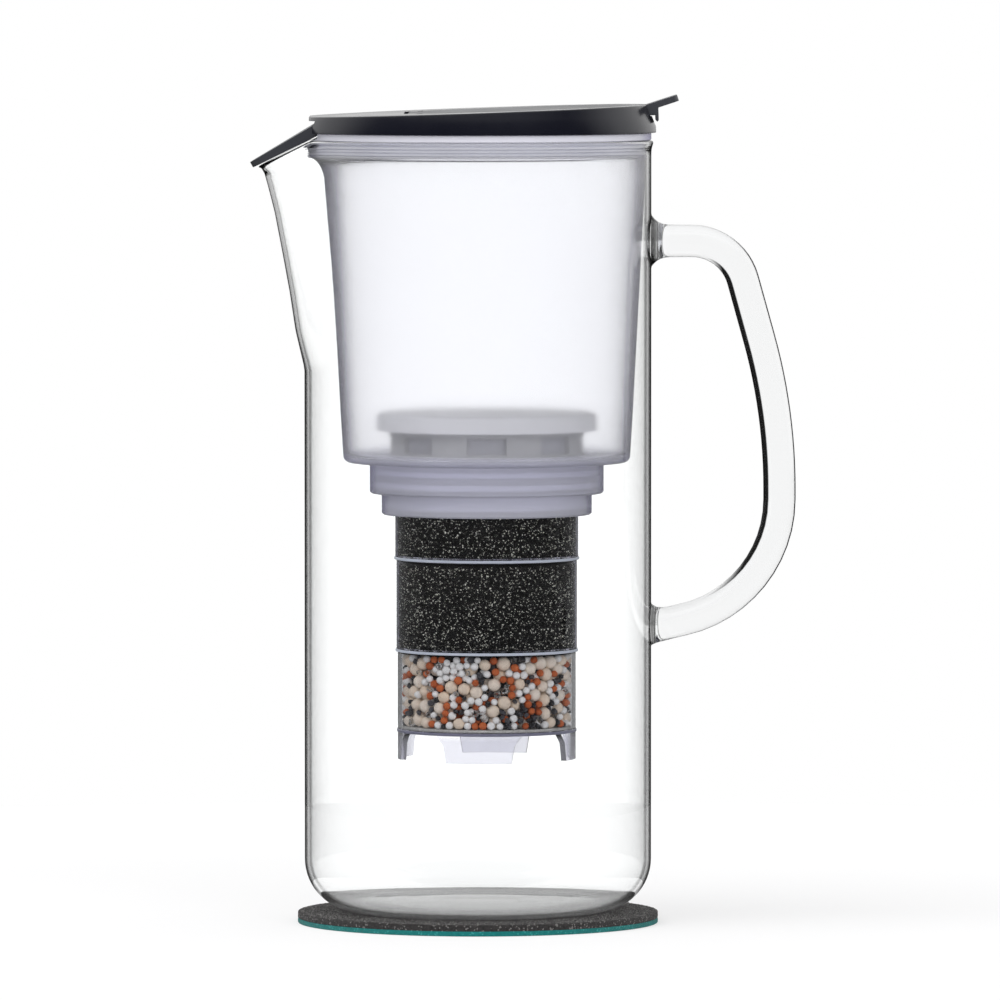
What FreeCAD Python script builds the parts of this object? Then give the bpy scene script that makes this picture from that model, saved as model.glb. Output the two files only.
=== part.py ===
import FreeCAD, Part
import math
import os

vec = FreeCAD.Vector

# Glass water filter pitcher on its felt coaster, in millimetres.
# +Z is up, +X points to the handle and -X to the spout. The origin is the middle of the
# coaster's underside, on the jug's axis. Sizes run from the cartridge outwards and from
# the coaster up, so the jug grows with what it has to hold.

# Gaps
lift_gap = 0.4            # beside a piece that lifts past another
swing_gap = 0.6           # beside a piece that swings past another
lip_gap = 0.4             # under the spout flap, down to the glass
pin_play = 0.05           # around a hinge pin
weld_gap = 0.15           # seam between the handle's welds and the jug
seal_gap = 0.1            # between a seal and the wall that it wipes
fill_gap = 0.1            # around a filling or a ring in its seat
ball_gap = 0.08           # between neighbouring balls
cut_overrun = 6.0         # of a cutting solid past what it cuts

# Coaster
coaster_margin = 2.6      # beyond the jug
coaster_base_thickness = 1.8
coaster_top_thickness = 2.4
coaster_edge_round = 0.4

# Cartridge
cartridge_radius = 33.1   # upper chamber, outside
chamber_step = 0.45       # by which each chamber is slimmer than the one above
chamber_wall = 1.4
chamber_floor = 1.2
lower_chamber_height = 30.1
middle_chamber_height = 33.3
upper_chamber_height = 15.3   # below the hopper's well
chamber_grip = 5.0        # of the upper chamber inside the head
chamber_lip_height = 1.5
chamber_lip_proud = 0.4
spigot_height = 1.2
spigot_wall = 1.4
spigot_gap = 0.2
drain_radius = 1.5
drain_margin = 5.0        # from the outer drain holes to the chamber's wall
drain_rings = 3
felt_thickness = 1.0
foot_count = 4
foot_turn = 5.5           # degrees from the front
foot_height = 9.8
foot_thickness = 1.8
foot_top_width = 30.8
foot_bottom_width = 23.5
foot_waist_shares = (0.35, 0.3)   # of the height down and of the narrowing left
head_seat_gap = 0.5       # under the head's boss
head_bore_radius = 29.0
o_ring_section = 1.2      # radius
o_ring_shares = (0.32, 0.72)      # of the head's disc height
screen_margin = 2.0
screen_thickness = 0.6
cap_flange_radius = 39.8
cap_flange_height = 6.3
cap_flange_round = 1.6
cap_top_thickness = 2.0
cap_neck_radius = 35.3
cap_neck_wall = 2.2
cap_neck_height = 9.6
cap_window_count = 8
cap_window_width = 14.0
cap_window_height = 6.0

# Mineral bed in the lower chamber
cream_ball_radius = 2.6
small_ball_radius = 1.5
ball_column_count = 20
ball_turn_share = 0.5     # of the pitch between one course and the next
core_depth = 6.0          # from the chamber's wall to the core behind the balls

# Hopper
hopper_wall = 2.0
well_ledge = 2.1          # width under the head's boss
well_step = 4.3           # width under the head's disc
well_lower_height = 7.7
well_upper_height = 11.1
hopper_floor_width = 9.6  # from the well to the hopper's wall
hopper_floor_round = 2.5
hopper_taper = 5.3
hopper_height = 110.2
hopper_flare_height = 9.0
hopper_flare_end = 72.0   # degrees of the quarter round
hopper_flare_steps = 6
pour_gap = 6.8            # from hopper to collar on the spout side
handle_side_gap = 0.4     # the same on the handle side
collar_height = 6.3
collar_groove_depth = 1.0
seal_height_share = 0.6   # of the collar
seal_rib_count = 3
flange_thickness = 2.7

# Glass jug
collar_gap = 0.3
jug_wall = 1.6
jug_floor = 4.5
jug_corner = 19.0
punt_height = 1.2
punt_share = 0.8          # of the flat of the foot
water_space = 50.8        # under the cartridge's feet
bead_proud = 1.0
bead_height = 2.2
spout_height = 73.3       # from its root to its tip
spout_reach = 16.3
spout_half_angle = 30.0   # degrees
spout_tip_drop = 9.3      # of the tip below the rim
spout_rim_reach = 20.0    # where the flanks meet the rim
spout_outline_shares = ((0.0, 0.0), (0.187, 0.199), (0.374, 0.325), (0.563, 0.48), (0.768, 0.657),
                        (0.886, 0.79), (0.965, 0.889), (1.0, 1.0))   # of the height and the reach
section_points = 72
loft_degree = 2

# Glass handle
handle_rod_radius = 5.85
handle_reach = 46.4       # from the jug's wall to the middle of the rod
handle_drop = 36.5        # from the rim to the upper weld
handle_span = 139.7       # between the welds
handle_corner_shares = ((0.63, 0.0), (1.0, 0.443), (1.0, 0.925))   # of the reach and the span
handle_bend_shares = (0.5, 0.43, 0.53)   # of the run beside each corner
weld_radius = 11.2
weld_length = 4.6
weld_waist_shares = (0.3, 0.3)   # of the length and of the swelling left there

# Lid
lid_overhang = 1.7        # beyond the jug
lid_band_height = 2.0
lid_top_inset = 3.1       # of the top's edge from the band
lid_front_height = 5.8
lid_back_height = 10.1
lid_edge_round = 0.7
lid_cavity_share = 0.78   # of the lid's radius
plug_depth = 5.5
plug_wall = 2.0
lid_seal_height = 2.0
lid_seal_depth = 0.9      # of its groove
lid_seal_share = 0.5      # of the plug's depth, at the groove's middle

# Fill flap
fill_flap_radius = 44.0
fill_flap_centre = 12.0
fill_flap_thickness = 2.2
fill_ledge_width = 3.0
fill_ledge_thickness = 1.8
fill_hinge_distance = 36.0    # from the flap's centre to its hinge
fill_barrel_half_width = 23.0
fill_barrel_radius = 2.0
fill_pin_hold = 4.0       # of the pin in the lid at each end
trough_wall = 1.6
tab_half_width = 8.0
tab_root_inset = 0.4      # from the lid's top edge
tab_length = 11.6
tab_angle = 16.0          # degrees up from the lid's top
tab_thickness = 2.3
tab_tip_round = 4.0
notch_depth = 4.3
notch_inset = 0.8         # from the lid's top edge
hook_thickness = 1.1
hook_drop = 6.3
hook_chamfer = 0.6
pin_radius = 1.0

# Spout flap
spout_hinge_inset = 7.2   # from the lid's radius
spout_hinge_rise = 1.7    # above the lid's underside
spout_flap_angle = 28.6   # degrees down
spout_flap_length = 28.0
spout_flap_root_thickness = 4.2
spout_flap_tip_thickness = 2.2
spout_flap_half_width = 24.0
spout_flap_tip_half_width = 12.5
spout_flap_straight = 6.0
spout_flap_bow = 4.0
spout_flap_skin = 1.5
spout_pin_hold = 2.6
brow_reach = 3.6          # of the lid's lip past the spout hinge

# Radii that follow from the cartridge
lower_radius = cartridge_radius - 2 * chamber_step
middle_radius = cartridge_radius - chamber_step
well_hole_radius = cartridge_radius + chamber_lip_proud + lift_gap
well_lower_inner = well_hole_radius + well_ledge
well_upper_inner = well_lower_inner + well_step
hopper_floor_radius = well_upper_inner + hopper_wall + hopper_floor_width
hopper_top_radius = hopper_floor_radius + hopper_taper
collar_radius = hopper_top_radius + (pour_gap + handle_side_gap) / 2
hopper_x = (pour_gap - handle_side_gap) / 2
mouth_radius = collar_radius - hopper_wall
jug_inner_radius = collar_radius + collar_gap
jug_radius = jug_inner_radius + jug_wall
coaster_radius = jug_radius + coaster_margin
lid_radius = jug_radius + lid_overhang
lid_top_radius = lid_radius - lid_top_inset
plug_radius = mouth_radius - lift_gap

# Heights
jug_z = coaster_base_thickness + coaster_top_thickness
floor_z = jug_z + jug_floor
feet_z = floor_z + water_space
lower_z = feet_z + foot_height
middle_z = lower_z + lower_chamber_height
upper_z = middle_z + middle_chamber_height
well_z = upper_z + upper_chamber_height
step_z = well_z + well_lower_height
hopper_z = step_z + well_upper_height
collar_z = hopper_z + hopper_height
rim_z = collar_z + collar_height
lid_z = rim_z + flange_thickness
head_seat_z = step_z + hopper_wall
head_top_z = hopper_z + hopper_wall
grip_top_z = well_z + chamber_grip
lid_mid_z = lid_z + (lid_front_height + lid_back_height) / 2
lid_tilt = math.degrees(math.atan((lid_back_height - lid_front_height) / (2 * lid_top_radius)))

# Hinges
spout_hinge_x = spout_hinge_inset - lid_radius
spout_hinge_z = lid_z + spout_hinge_rise
spout_pocket_half = spout_flap_half_width + swing_gap
fill_hinge_x = fill_flap_centre - fill_hinge_distance
spout_barrel_radius = spout_flap_root_thickness / 2
fill_corner_x = fill_hinge_x + 2 * fill_barrel_radius
notch_half_width = tab_half_width + swing_gap


def cylinder(radius, z0, z1, x=0):
    return Part.makeCylinder(radius, z1 - z0, vec(x, 0, z0))


def ring(outer, inner, z0, z1, x=0):
    return cylinder(outer, z0, z1, x).cut(cylinder(inner, z0, z1, x))


def cone(r0, r1, z0, z1, x=0):
    return Part.makeCone(r0, r1, z1 - z0, vec(x, 0, z0))


def box(x0, x1, half_width, z0, z1):
    return Part.makeBox(x1 - x0, 2 * half_width, z1 - z0, vec(x0, -half_width, z0))


def prism(outline, half_width):
    """Upright (x, z) outline run along Y on both sides of the middle."""
    corners = [vec(x, -half_width, z) for x, z in outline]
    face = Part.Face(Part.makePolygon(corners + corners[:1]))
    return face.extrude(vec(0, 2 * half_width, 0))


def revolved(edges, x=0):
    face = Part.Face(Part.Wire(edges))
    return face.revolve(vec(x, 0, 0), vec(0, 0, 1), 360)


def rod_y(radius, x, z, half_width):
    return Part.makeCylinder(radius, 2 * half_width, vec(x, -half_width, z), vec(0, 1, 0))


def rounded(shape, radius, z):
    """Rounds the level circular edges at height z."""
    near = radius / 10
    edges = [e for e in shape.Edges if abs(e.BoundBox.ZMin - z) < near and abs(e.BoundBox.ZMax - z) < near]
    return shape.makeFillet(radius, edges)


def around(shape, count, x=0, first=0):
    turned = []
    for k in range(count):
        copy = shape.copy()
        copy.rotate(vec(x, 0, 0), vec(0, 0, 1), first + 360 * k / count)
        turned.append(copy)
    return turned


def on_lid(shape):
    """Takes a shape drawn on the level plane z = 0 to the lid's sloping top."""
    copy = shape.copy()
    tilt = FreeCAD.Rotation(vec(0, 1, 0), -lid_tilt)
    copy.Placement = FreeCAD.Placement(vec(0, 0, lid_mid_z), tilt).multiply(copy.Placement)
    return copy


def felt_disc(z, thickness):
    disc = cylinder(coaster_radius, z, z + thickness)
    return rounded(rounded(disc, coaster_edge_round, z), coaster_edge_round, z + thickness)


def spout_line(gap):
    """Points of the line under the spout flap, lowered by a gap: over the tip, then over the hinge."""
    angle = math.radians(spout_flap_angle)
    narrowing = (spout_flap_root_thickness - spout_flap_tip_thickness) / 2
    slope = angle - math.atan(narrowing / spout_flap_length)
    drop = (spout_barrel_radius + gap) / math.cos(slope)
    run = spout_flap_length + cut_overrun
    tip = (spout_hinge_x - run, spout_hinge_z - drop - run * math.tan(slope))
    return tip, (spout_hinge_x, spout_hinge_z - drop)


def over_spout_line(gap, half_width, top_z, inner_reach):
    """All that lies above that line and below top_z, from the spout to a little inside the hinge."""
    tip, root = spout_line(gap)
    rise = (root[1] - tip[1]) / (root[0] - tip[0])
    inner_x = root[0] + inner_reach
    inner_z = root[1] + inner_reach * rise
    return prism([tip, (inner_x, inner_z), (inner_x, top_z), (tip[0], top_z)], half_width)


def spout_lobe(angle):
    u = abs(angle - math.pi) / math.radians(spout_half_angle)
    if u > 1:
        return 0
    return (1 - u * u) ** 2


def jug_section(z, reach, radius):
    bead = bead_proud * math.exp(-((rim_z - z) / bead_height) ** 2)
    points = []
    for k in range(section_points):
        angle = 2 * math.pi * k / section_points
        lobe = spout_lobe(angle)
        r = radius + reach * lobe + bead * (1 - lobe)
        points.append(vec(r * math.cos(angle), r * math.sin(angle), z))
    curve = Part.BSplineCurve()
    curve.interpolate(Points=points, PeriodicFlag=True)
    return Part.Wire([curve.toShape()])


def jug_mouth(radius):
    """The spouted upper part as a full body, from the spout's root to the rim."""
    root_z = rim_z - spout_tip_drop - spout_height
    levels = [(root_z + h * spout_height, r * spout_reach) for h, r in spout_outline_shares]
    for share in (0.5, 0.8, 1.0):
        rise = share * (spout_rim_reach - spout_reach)
        levels.append((rim_z - spout_tip_drop * (1 - share), spout_reach + rise))
    return Part.makeLoft([jug_section(z, reach, radius) for z, reach in levels], True, False, False, loft_degree)


def jug_barrel(radius, bottom_z, dome, corner):
    """The round lower part as a full body, up to the spout's root."""
    top_z = rim_z - spout_tip_drop - spout_height
    flat = radius - corner
    dome_r = punt_share * flat
    bend = corner * (1 - math.sqrt(0.5))
    crown = vec(0, 0, bottom_z + dome)
    dome_end = vec(dome_r, 0, bottom_z)
    corner_start = vec(flat, 0, bottom_z)
    corner_end = vec(radius, 0, bottom_z + corner)
    top_out = vec(radius, 0, top_z)
    top_mid = vec(0, 0, top_z)
    on_corner = vec(radius - bend, 0, bottom_z + bend)
    edges = [Part.makeLine(crown, dome_end),
             Part.makeLine(dome_end, corner_start),
             Part.Arc(corner_start, on_corner, corner_end).toShape(),
             Part.makeLine(corner_end, top_out),
             Part.makeLine(top_out, top_mid),
             Part.makeLine(top_mid, crown)]
    return revolved(edges)


def glass_jug():
    barrel = jug_barrel(jug_radius, jug_z, punt_height, jug_corner)
    barrel = barrel.cut(jug_barrel(jug_inner_radius, floor_z, punt_height, jug_corner - jug_wall))
    mouth = jug_mouth(jug_radius).cut(jug_mouth(jug_inner_radius))
    whole = barrel.fuse([mouth], fill_gap / 100)
    reach = jug_radius + spout_rim_reach
    return whole.cut(over_spout_line(lip_gap, reach, rim_z + cut_overrun, jug_radius / 2))


def handle_points():
    top = rim_z - handle_drop
    ends = ((0, 0), (0, 1))
    shares = ends[:1] + handle_corner_shares + ends[1:]
    return [vec(jug_radius + a * handle_reach, 0, top - b * handle_span) for a, b in shares]


def handle_path():
    points = handle_points()
    edges = []
    start = points[0] - vec(jug_wall, 0, 0)
    for k in (1, 2, 3):
        before = (points[k - 1] - points[k]).normalize()
        after = (points[k + 1] - points[k]).normalize()
        runs = [points[k].distanceToPoint(points[k - 1]), points[k].distanceToPoint(points[k + 1])]
        run = min(runs) if k == 2 else runs[0]
        reach = handle_bend_shares[k - 1] * run
        half = math.acos(before.dot(after)) / 2
        radius = reach * math.tan(half)
        inward = (before + after).normalize()
        middle = points[k] + inward * (radius / math.sin(half) - radius)
        enter = points[k] + before * reach
        leave = points[k] + after * reach
        edges.append(Part.makeLine(start, enter))
        edges.append(Part.Arc(enter, middle, leave).toShape())
        start = leave
    last = (points[4] - points[3]).normalize()
    edges.append(Part.makeLine(start, points[4] + last * jug_wall))
    return edges


def weld(point, along):
    """Flared end of the rod, from inside the glass wall outwards."""
    swell = weld_radius - handle_rod_radius
    waist = vec(weld_waist_shares[0] * weld_length, 0, handle_rod_radius + weld_waist_shares[1] * swell)
    root = vec(-jug_wall * 2, 0, 0)
    edges = [Part.makeLine(root, root + vec(0, 0, weld_radius)),
             Part.makeLine(root + vec(0, 0, weld_radius), vec(0, 0, weld_radius)),
             Part.Arc(vec(0, 0, weld_radius), waist, vec(weld_length, 0, handle_rod_radius)).toShape(),
             Part.makeLine(vec(weld_length, 0, handle_rod_radius), vec(weld_length, 0, 0)),
             Part.makeLine(vec(weld_length, 0, 0), root)]
    flare = Part.Face(Part.Wire(edges)).revolve(vec(0, 0, 0), vec(1, 0, 0), 360)
    flare.Placement = FreeCAD.Placement(point, FreeCAD.Rotation(vec(1, 0, 0), along))
    return flare


def glass_handle():
    path = handle_path()
    start = path[0].Vertexes[0].Point
    circle = Part.Wire([Part.makeCircle(handle_rod_radius, start, vec(1, 0, 0))])
    rod = Part.Wire(path).makePipeShell([circle], True, False)
    points = handle_points()
    upper = weld(points[0], points[1] - points[0])
    lower = weld(points[4], points[3] - points[4])
    return rod.fuse([upper, lower]).cut(cylinder(jug_radius + weld_gap, 0, rim_z))


def flare_section(turn, inset):
    share = 1 - math.cos(math.radians(turn))
    z = collar_z - hopper_flare_height * (1 - math.sin(math.radians(turn)))
    radius = hopper_top_radius + share * (collar_radius - hopper_top_radius) - inset
    return Part.Wire([Part.makeCircle(radius, vec(hopper_x * (1 - share), 0, z))])


def hopper_flare(inset):
    """From the cup's round, standing off to the handle side, up into the collar's."""
    last = Part.Wire([Part.makeCircle(collar_radius - inset - fill_gap, vec(0, 0, collar_z + hopper_wall / 2))])
    turns = [hopper_flare_end * k / hopper_flare_steps for k in range(hopper_flare_steps + 1)]
    return Part.makeLoft([flare_section(t, inset) for t in turns] + [last], True, True)


def hopper_cup(inset, floor_z0):
    flare_z = collar_z - hopper_flare_height
    cup = cone(hopper_floor_radius - inset, hopper_top_radius - inset, floor_z0, flare_z, hopper_x)
    return rounded(cup, hopper_floor_round, floor_z0)


def hopper():
    outer = hopper_cup(0, hopper_z).fuse([hopper_flare(0),
                                          cylinder(collar_radius, collar_z, rim_z),
                                          cylinder(jug_radius, rim_z, lid_z),
                                          cylinder(well_upper_inner + hopper_wall, step_z, head_top_z, hopper_x),
                                          cylinder(well_lower_inner + hopper_wall, well_z, head_seat_z, hopper_x)])
    inner = hopper_cup(hopper_wall, head_top_z).fuse([
        hopper_flare(hopper_wall),
        cylinder(mouth_radius, collar_z, lid_z + cut_overrun),
        cylinder(well_upper_inner, head_seat_z, head_top_z + cut_overrun, hopper_x),
        cylinder(well_lower_inner, well_z + hopper_wall, step_z + cut_overrun, hopper_x),
        cylinder(well_hole_radius, well_z - cut_overrun, step_z, hopper_x)])
    groove_half = collar_height * seal_height_share / 2 + fill_gap
    middle = collar_z + collar_height / 2
    groove = ring(collar_radius + collar_gap, collar_radius - collar_groove_depth - fill_gap,
                  middle - groove_half, middle + groove_half)
    spout_side = over_spout_line(lip_gap + lift_gap, spout_pocket_half, lid_z + cut_overrun, cut_overrun)
    return outer.cut(inner).cut(groove).cut(spout_side)


def rim_seal():
    height = collar_height * seal_height_share
    z0 = collar_z + (collar_height - height) / 2
    root = collar_radius - collar_groove_depth
    tip = jug_inner_radius - seal_gap
    band = ring((root + tip) / 2, root, z0, z0 + height)
    pitch = height / seal_rib_count
    half = pitch / 4
    for k in range(seal_rib_count):
        z = z0 + pitch * (k + 1 / 2)
        band = band.fuse(ring(tip, root, z - half, z + half))
    return band


def chamber(radius, z0, z1, lip):
    tube = cylinder(radius, z0, z1, hopper_x)
    if lip:
        proud = cylinder(radius + chamber_lip_proud + chamber_step, z1 - chamber_lip_height, z1, hopper_x)
        tube = tube.fuse(proud)
    return tube.cut(cylinder(radius - chamber_wall, z0 + chamber_floor, z1, hopper_x))


def drained(shape, radius, z):
    """Drills the floor at height z with rings of drain holes."""
    pitch = (radius - chamber_wall - drain_margin) / drain_rings
    hole = cylinder(drain_radius, z - cut_overrun, z + chamber_floor + cut_overrun, hopper_x)
    holes = [hole]
    for k in range(1, drain_rings + 1):
        out = hole.copy()
        out.translate(vec(k * pitch, 0, 0))
        holes += around(out, 6 * k, hopper_x)
    return shape.cut(holes)


def spigot(radius_below, z):
    outer = radius_below - chamber_wall - spigot_gap
    return ring(outer, outer - spigot_wall, z - spigot_height, z, hopper_x)


def upper_chamber():
    tube = chamber(cartridge_radius, upper_z, grip_top_z, False)
    return drained(tube, cartridge_radius, upper_z).fuse(spigot(middle_radius, upper_z))


def middle_chamber():
    tube = chamber(middle_radius, middle_z, upper_z, True)
    return drained(tube, middle_radius, middle_z).fuse(spigot(lower_radius, middle_z))


def cartridge_foot():
    """One curved foot at the front of the lower chamber."""
    shell = ring(lower_radius, lower_radius - foot_thickness, feet_z, lower_z, hopper_x)
    top = foot_top_width / 2
    bottom = foot_bottom_width / 2
    waist = bottom + foot_waist_shares[1] * (top - bottom)
    waist_z = lower_z - foot_waist_shares[0] * foot_height
    outline = [(-bottom, feet_z), (bottom, feet_z), (waist, waist_z), (top, lower_z), (-top, lower_z), (-waist, waist_z)]
    corners = [vec(hopper_x + x, 0, z) for x, z in outline]
    face = Part.Face(Part.makePolygon(corners + corners[:1]))
    return shell.common(face.extrude(vec(0, -lower_radius - cut_overrun, 0)))


def lower_chamber():
    tube = drained(chamber(lower_radius, lower_z, middle_z, True), lower_radius, lower_z)
    return tube.fuse(around(cartridge_foot(), foot_count, hopper_x, -foot_turn))


def felt_pad(radius, z):
    return cylinder(radius - chamber_wall - fill_gap, z, z + felt_thickness, hopper_x)


def carbon_bed(radius, floor, top):
    return cylinder(radius - chamber_wall - fill_gap, floor + chamber_floor + felt_thickness, top, hopper_x)


def o_ring_heights():
    disc = head_top_z - head_seat_z
    return [head_seat_z + share * disc for share in o_ring_shares]


def cartridge_head():
    disc = cylinder(well_upper_inner - lift_gap, head_seat_z, head_top_z, hopper_x)
    boss = cylinder(well_lower_inner - lift_gap, well_z + hopper_wall + head_seat_gap, head_seat_z, hopper_x)
    socket = cylinder(cartridge_radius + fill_gap, well_z, grip_top_z, hopper_x)
    bore = cylinder(head_bore_radius, well_z, head_top_z, hopper_x)
    seat = cylinder(head_bore_radius + screen_margin + fill_gap, head_top_z - screen_thickness, head_top_z, hopper_x)
    head = disc.fuse(boss).cut([socket, bore, seat])
    half = o_ring_section + fill_gap
    for z in o_ring_heights():
        groove = ring(well_upper_inner, well_upper_inner - seal_gap - o_ring_section - half, z - half, z + half, hopper_x)
        head = head.cut(groove)
    return head


def cartridge_o_rings():
    middle = well_upper_inner - seal_gap - o_ring_section
    return Part.makeCompound([Part.makeTorus(middle, o_ring_section, vec(hopper_x, 0, z)) for z in o_ring_heights()])


def inlet_screen():
    return cylinder(head_bore_radius + screen_margin, head_top_z - screen_thickness, head_top_z, hopper_x)


def cartridge_cap():
    flange_z = head_top_z + cap_neck_height
    top_z = flange_z + cap_flange_height
    neck = ring(cap_neck_radius, cap_neck_radius - cap_neck_wall, head_top_z, flange_z, hopper_x)
    window_z = head_top_z + (cap_neck_height - cap_window_height) / 2
    window = box(0, cap_neck_radius + cut_overrun, cap_window_width / 2, window_z, window_z + cap_window_height)
    window.translate(vec(hopper_x, 0, 0))
    neck = neck.cut(around(window, cap_window_count, hopper_x))
    flange = rounded(cylinder(cap_flange_radius, flange_z, top_z, hopper_x), cap_flange_round, top_z)
    hollow = cylinder(cap_neck_radius - cap_neck_wall, flange_z, top_z - cap_top_thickness, hopper_x)
    return flange.cut(hollow).fuse(neck)


def mineral_balls():
    """Outer layer of the bed: courses of large balls with small ones between, in four kinds."""
    wall = lower_radius - chamber_wall - ball_gap
    floor = lower_z + chamber_floor + felt_thickness
    room = middle_z - spigot_height - floor
    climb = cream_ball_radius + small_ball_radius + ball_gap
    courses = int((room - 2 * cream_ball_radius) / climb) + 1
    kinds = {"cream_balls": [], "white_balls": [], "red_balls": [], "dark_grains": []}
    small_kinds = ("white_balls", "red_balls", "white_balls", "dark_grains")
    pitch = 2 * math.pi / ball_column_count
    for course in range(courses):
        z = floor + ball_gap + cream_ball_radius + climb * course
        for column in range(ball_column_count):
            large = pitch * (column + ball_turn_share * (course % 2))
            small = large + pitch / 2
            kind = small_kinds[(column + 2 * course + column // 4) % len(small_kinds)]
            kinds["cream_balls"].append(ball(wall, cream_ball_radius, large, z))
            kinds[kind].append(ball(wall, small_ball_radius, small, z))
    return {kind: Part.makeCompound(balls) for kind, balls in kinds.items()}


def ball(wall, radius, angle, z):
    reach = wall - radius
    return Part.makeSphere(radius, vec(hopper_x + reach * math.cos(angle), reach * math.sin(angle), z))


def mineral_core():
    floor = lower_z + chamber_floor + felt_thickness
    return cylinder(lower_radius - chamber_wall - core_depth, floor, middle_z - spigot_height - fill_gap, hopper_x)


def lid_wedge():
    """Solid lid with its sloping top, drafted side and plug."""
    high_z = lid_z + lid_back_height
    over_z = high_z + cut_overrun
    slope = lid_top_inset / (lid_back_height - lid_band_height)
    over_radius = lid_top_radius - slope * cut_overrun
    body = cylinder(lid_radius, lid_z, lid_z + lid_band_height)
    body = body.fuse(cone(lid_radius, over_radius, lid_z + lid_band_height, over_z))
    reach = lid_radius + cut_overrun
    body = body.cut(on_lid(box(-reach, reach, reach, 0, lid_back_height + 2 * cut_overrun)))
    edges = [e for e in body.Edges if e.BoundBox.ZMax > lid_z + lid_back_height - lid_edge_round
             and e.BoundBox.ZMin > lid_z + lid_band_height and e.Length > lid_top_radius]
    return body.makeFillet(lid_edge_round, edges)


def lid_body():
    reach = lid_radius + cut_overrun
    ceiling = fill_flap_thickness + fill_ledge_thickness
    trough = fill_barrel_radius + swing_gap
    trough_floor = 2 * fill_barrel_radius + swing_gap
    trough_half = fill_barrel_half_width + swing_gap
    body = lid_wedge()
    cavity = cylinder(lid_cavity_share * lid_radius, lid_z, lid_z + lid_back_height)
    body = body.cut(cavity.cut(on_lid(box(-reach, reach, reach, -ceiling, lid_back_height))))
    block = box(fill_hinge_x - trough - trough_wall, fill_hinge_x + trough + trough_wall,
                trough_half + fill_pin_hold + trough_wall, -trough_floor - trough_wall, -fill_flap_thickness)
    body = body.fuse(on_lid(block))
    body = body.fuse(ring(plug_radius, plug_radius - plug_wall, lid_z - plug_depth, lid_z))
    past_hinge = box(fill_hinge_x + fill_barrel_radius, reach, reach, -reach, reach)
    recess = cylinder(fill_flap_radius + swing_gap, -fill_flap_thickness, cut_overrun, fill_flap_centre)
    past_trough = box(fill_hinge_x + trough + trough_wall, reach, reach, -reach, reach)
    hole = cylinder(fill_flap_radius - fill_ledge_width, -reach / 2, cut_overrun, fill_flap_centre)
    channel = box(fill_flap_centre, reach, tab_half_width + swing_gap, -fill_flap_thickness, cut_overrun)
    slot = box(fill_hinge_x - trough, fill_hinge_x + trough, trough_half, -trough_floor, cut_overrun)
    notch = box(lid_top_radius - notch_inset, reach, notch_half_width, -notch_depth, cut_overrun)
    pin_hole = rod_y(pin_radius + pin_play, fill_hinge_x, -fill_barrel_radius, trough_half + fill_pin_hold)
    cuts = [recess.common(past_hinge), hole.common(past_trough), channel, slot, notch, pin_hole]
    body = body.cut([on_lid(c) for c in cuts])
    return body.cut(spout_pocket()).cut(lid_seal_groove())


def spout_pocket():
    brow_z = spout_hinge_z + spout_barrel_radius + swing_gap
    under = over_spout_line(swing_gap, spout_pocket_half, brow_z, 0)
    barrel = rod_y(spout_barrel_radius + swing_gap, spout_hinge_x, spout_hinge_z, spout_pocket_half)
    front = spout_hinge_x - brow_reach
    end = box(-lid_radius - cut_overrun, front, spout_pocket_half, lid_z, lid_z + lid_back_height + cut_overrun)
    pin_hole = rod_y(pin_radius + pin_play, spout_hinge_x, spout_hinge_z, spout_pocket_half + spout_pin_hold)
    return under.fuse([barrel, end, pin_hole])


def lid_seal_groove():
    middle = lid_z - lid_seal_share * plug_depth - lid_seal_height / 2
    half = lid_seal_height / 2 + fill_gap
    return ring(plug_radius + lift_gap, plug_radius - lid_seal_depth - fill_gap, middle - half, middle + half)


def lid_seal():
    middle = lid_z - lid_seal_share * plug_depth - lid_seal_height / 2
    half = lid_seal_height / 2
    return ring(mouth_radius - seal_gap, plug_radius - lid_seal_depth, middle - half, middle + half)


def thumb_tab():
    angle = math.radians(tab_angle)
    along = (math.cos(angle), math.sin(angle))
    root = lid_top_radius - tab_root_inset
    tip = (root + tab_length * along[0], tab_length * along[1])
    under = (tip[0] + tab_thickness * along[1], tip[1] - tab_thickness * along[0])
    low = (root + tab_thickness * along[1], -tab_thickness * along[0])
    bar = prism([(root, 0), tip, under, low, (root, -fill_flap_thickness)], tab_half_width)
    ends = [e for e in bar.Edges if abs(e.Length - tab_thickness) < pin_play and e.BoundBox.XMin > tip[0] - pin_play]
    return bar.makeFillet(tab_tip_round, ends)


def tab_hook():
    """Block under the tab, in the lid's notch, with a lip that reaches down the lid's side."""
    inner = lid_top_radius - notch_inset + lift_gap
    lip = lid_radius - lid_top_inset / 4 + lift_gap
    outer = lip + hook_thickness
    shelf = lift_gap - notch_depth
    middle = lip + hook_thickness / 2
    half = notch_half_width - swing_gap
    return prism([(inner, -fill_flap_thickness / 2), (inner, shelf), (lip, shelf), (lip, hook_chamfer - hook_drop),
                  (middle, -hook_drop), (outer, hook_chamfer - hook_drop), (outer, 0)], half)


def fill_flap():
    plate = cylinder(fill_flap_radius, -fill_flap_thickness, 0, fill_flap_centre)
    reach = lid_radius + cut_overrun
    behind_barrel = box(fill_hinge_x, reach, fill_barrel_half_width, -reach, reach)
    plate = plate.common(behind_barrel.fuse(box(fill_corner_x, reach, reach, -reach, reach)))
    neck = box(fill_flap_centre, lid_top_radius - tab_root_inset, tab_half_width, -fill_flap_thickness, 0)
    barrel = rod_y(fill_barrel_radius, fill_hinge_x, -fill_barrel_radius, fill_barrel_half_width)
    bore = rod_y(pin_radius + pin_play, fill_hinge_x, -fill_barrel_radius, fill_barrel_half_width)
    return on_lid(plate.fuse([neck, barrel, thumb_tab(), tab_hook()]).cut(bore))


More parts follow.
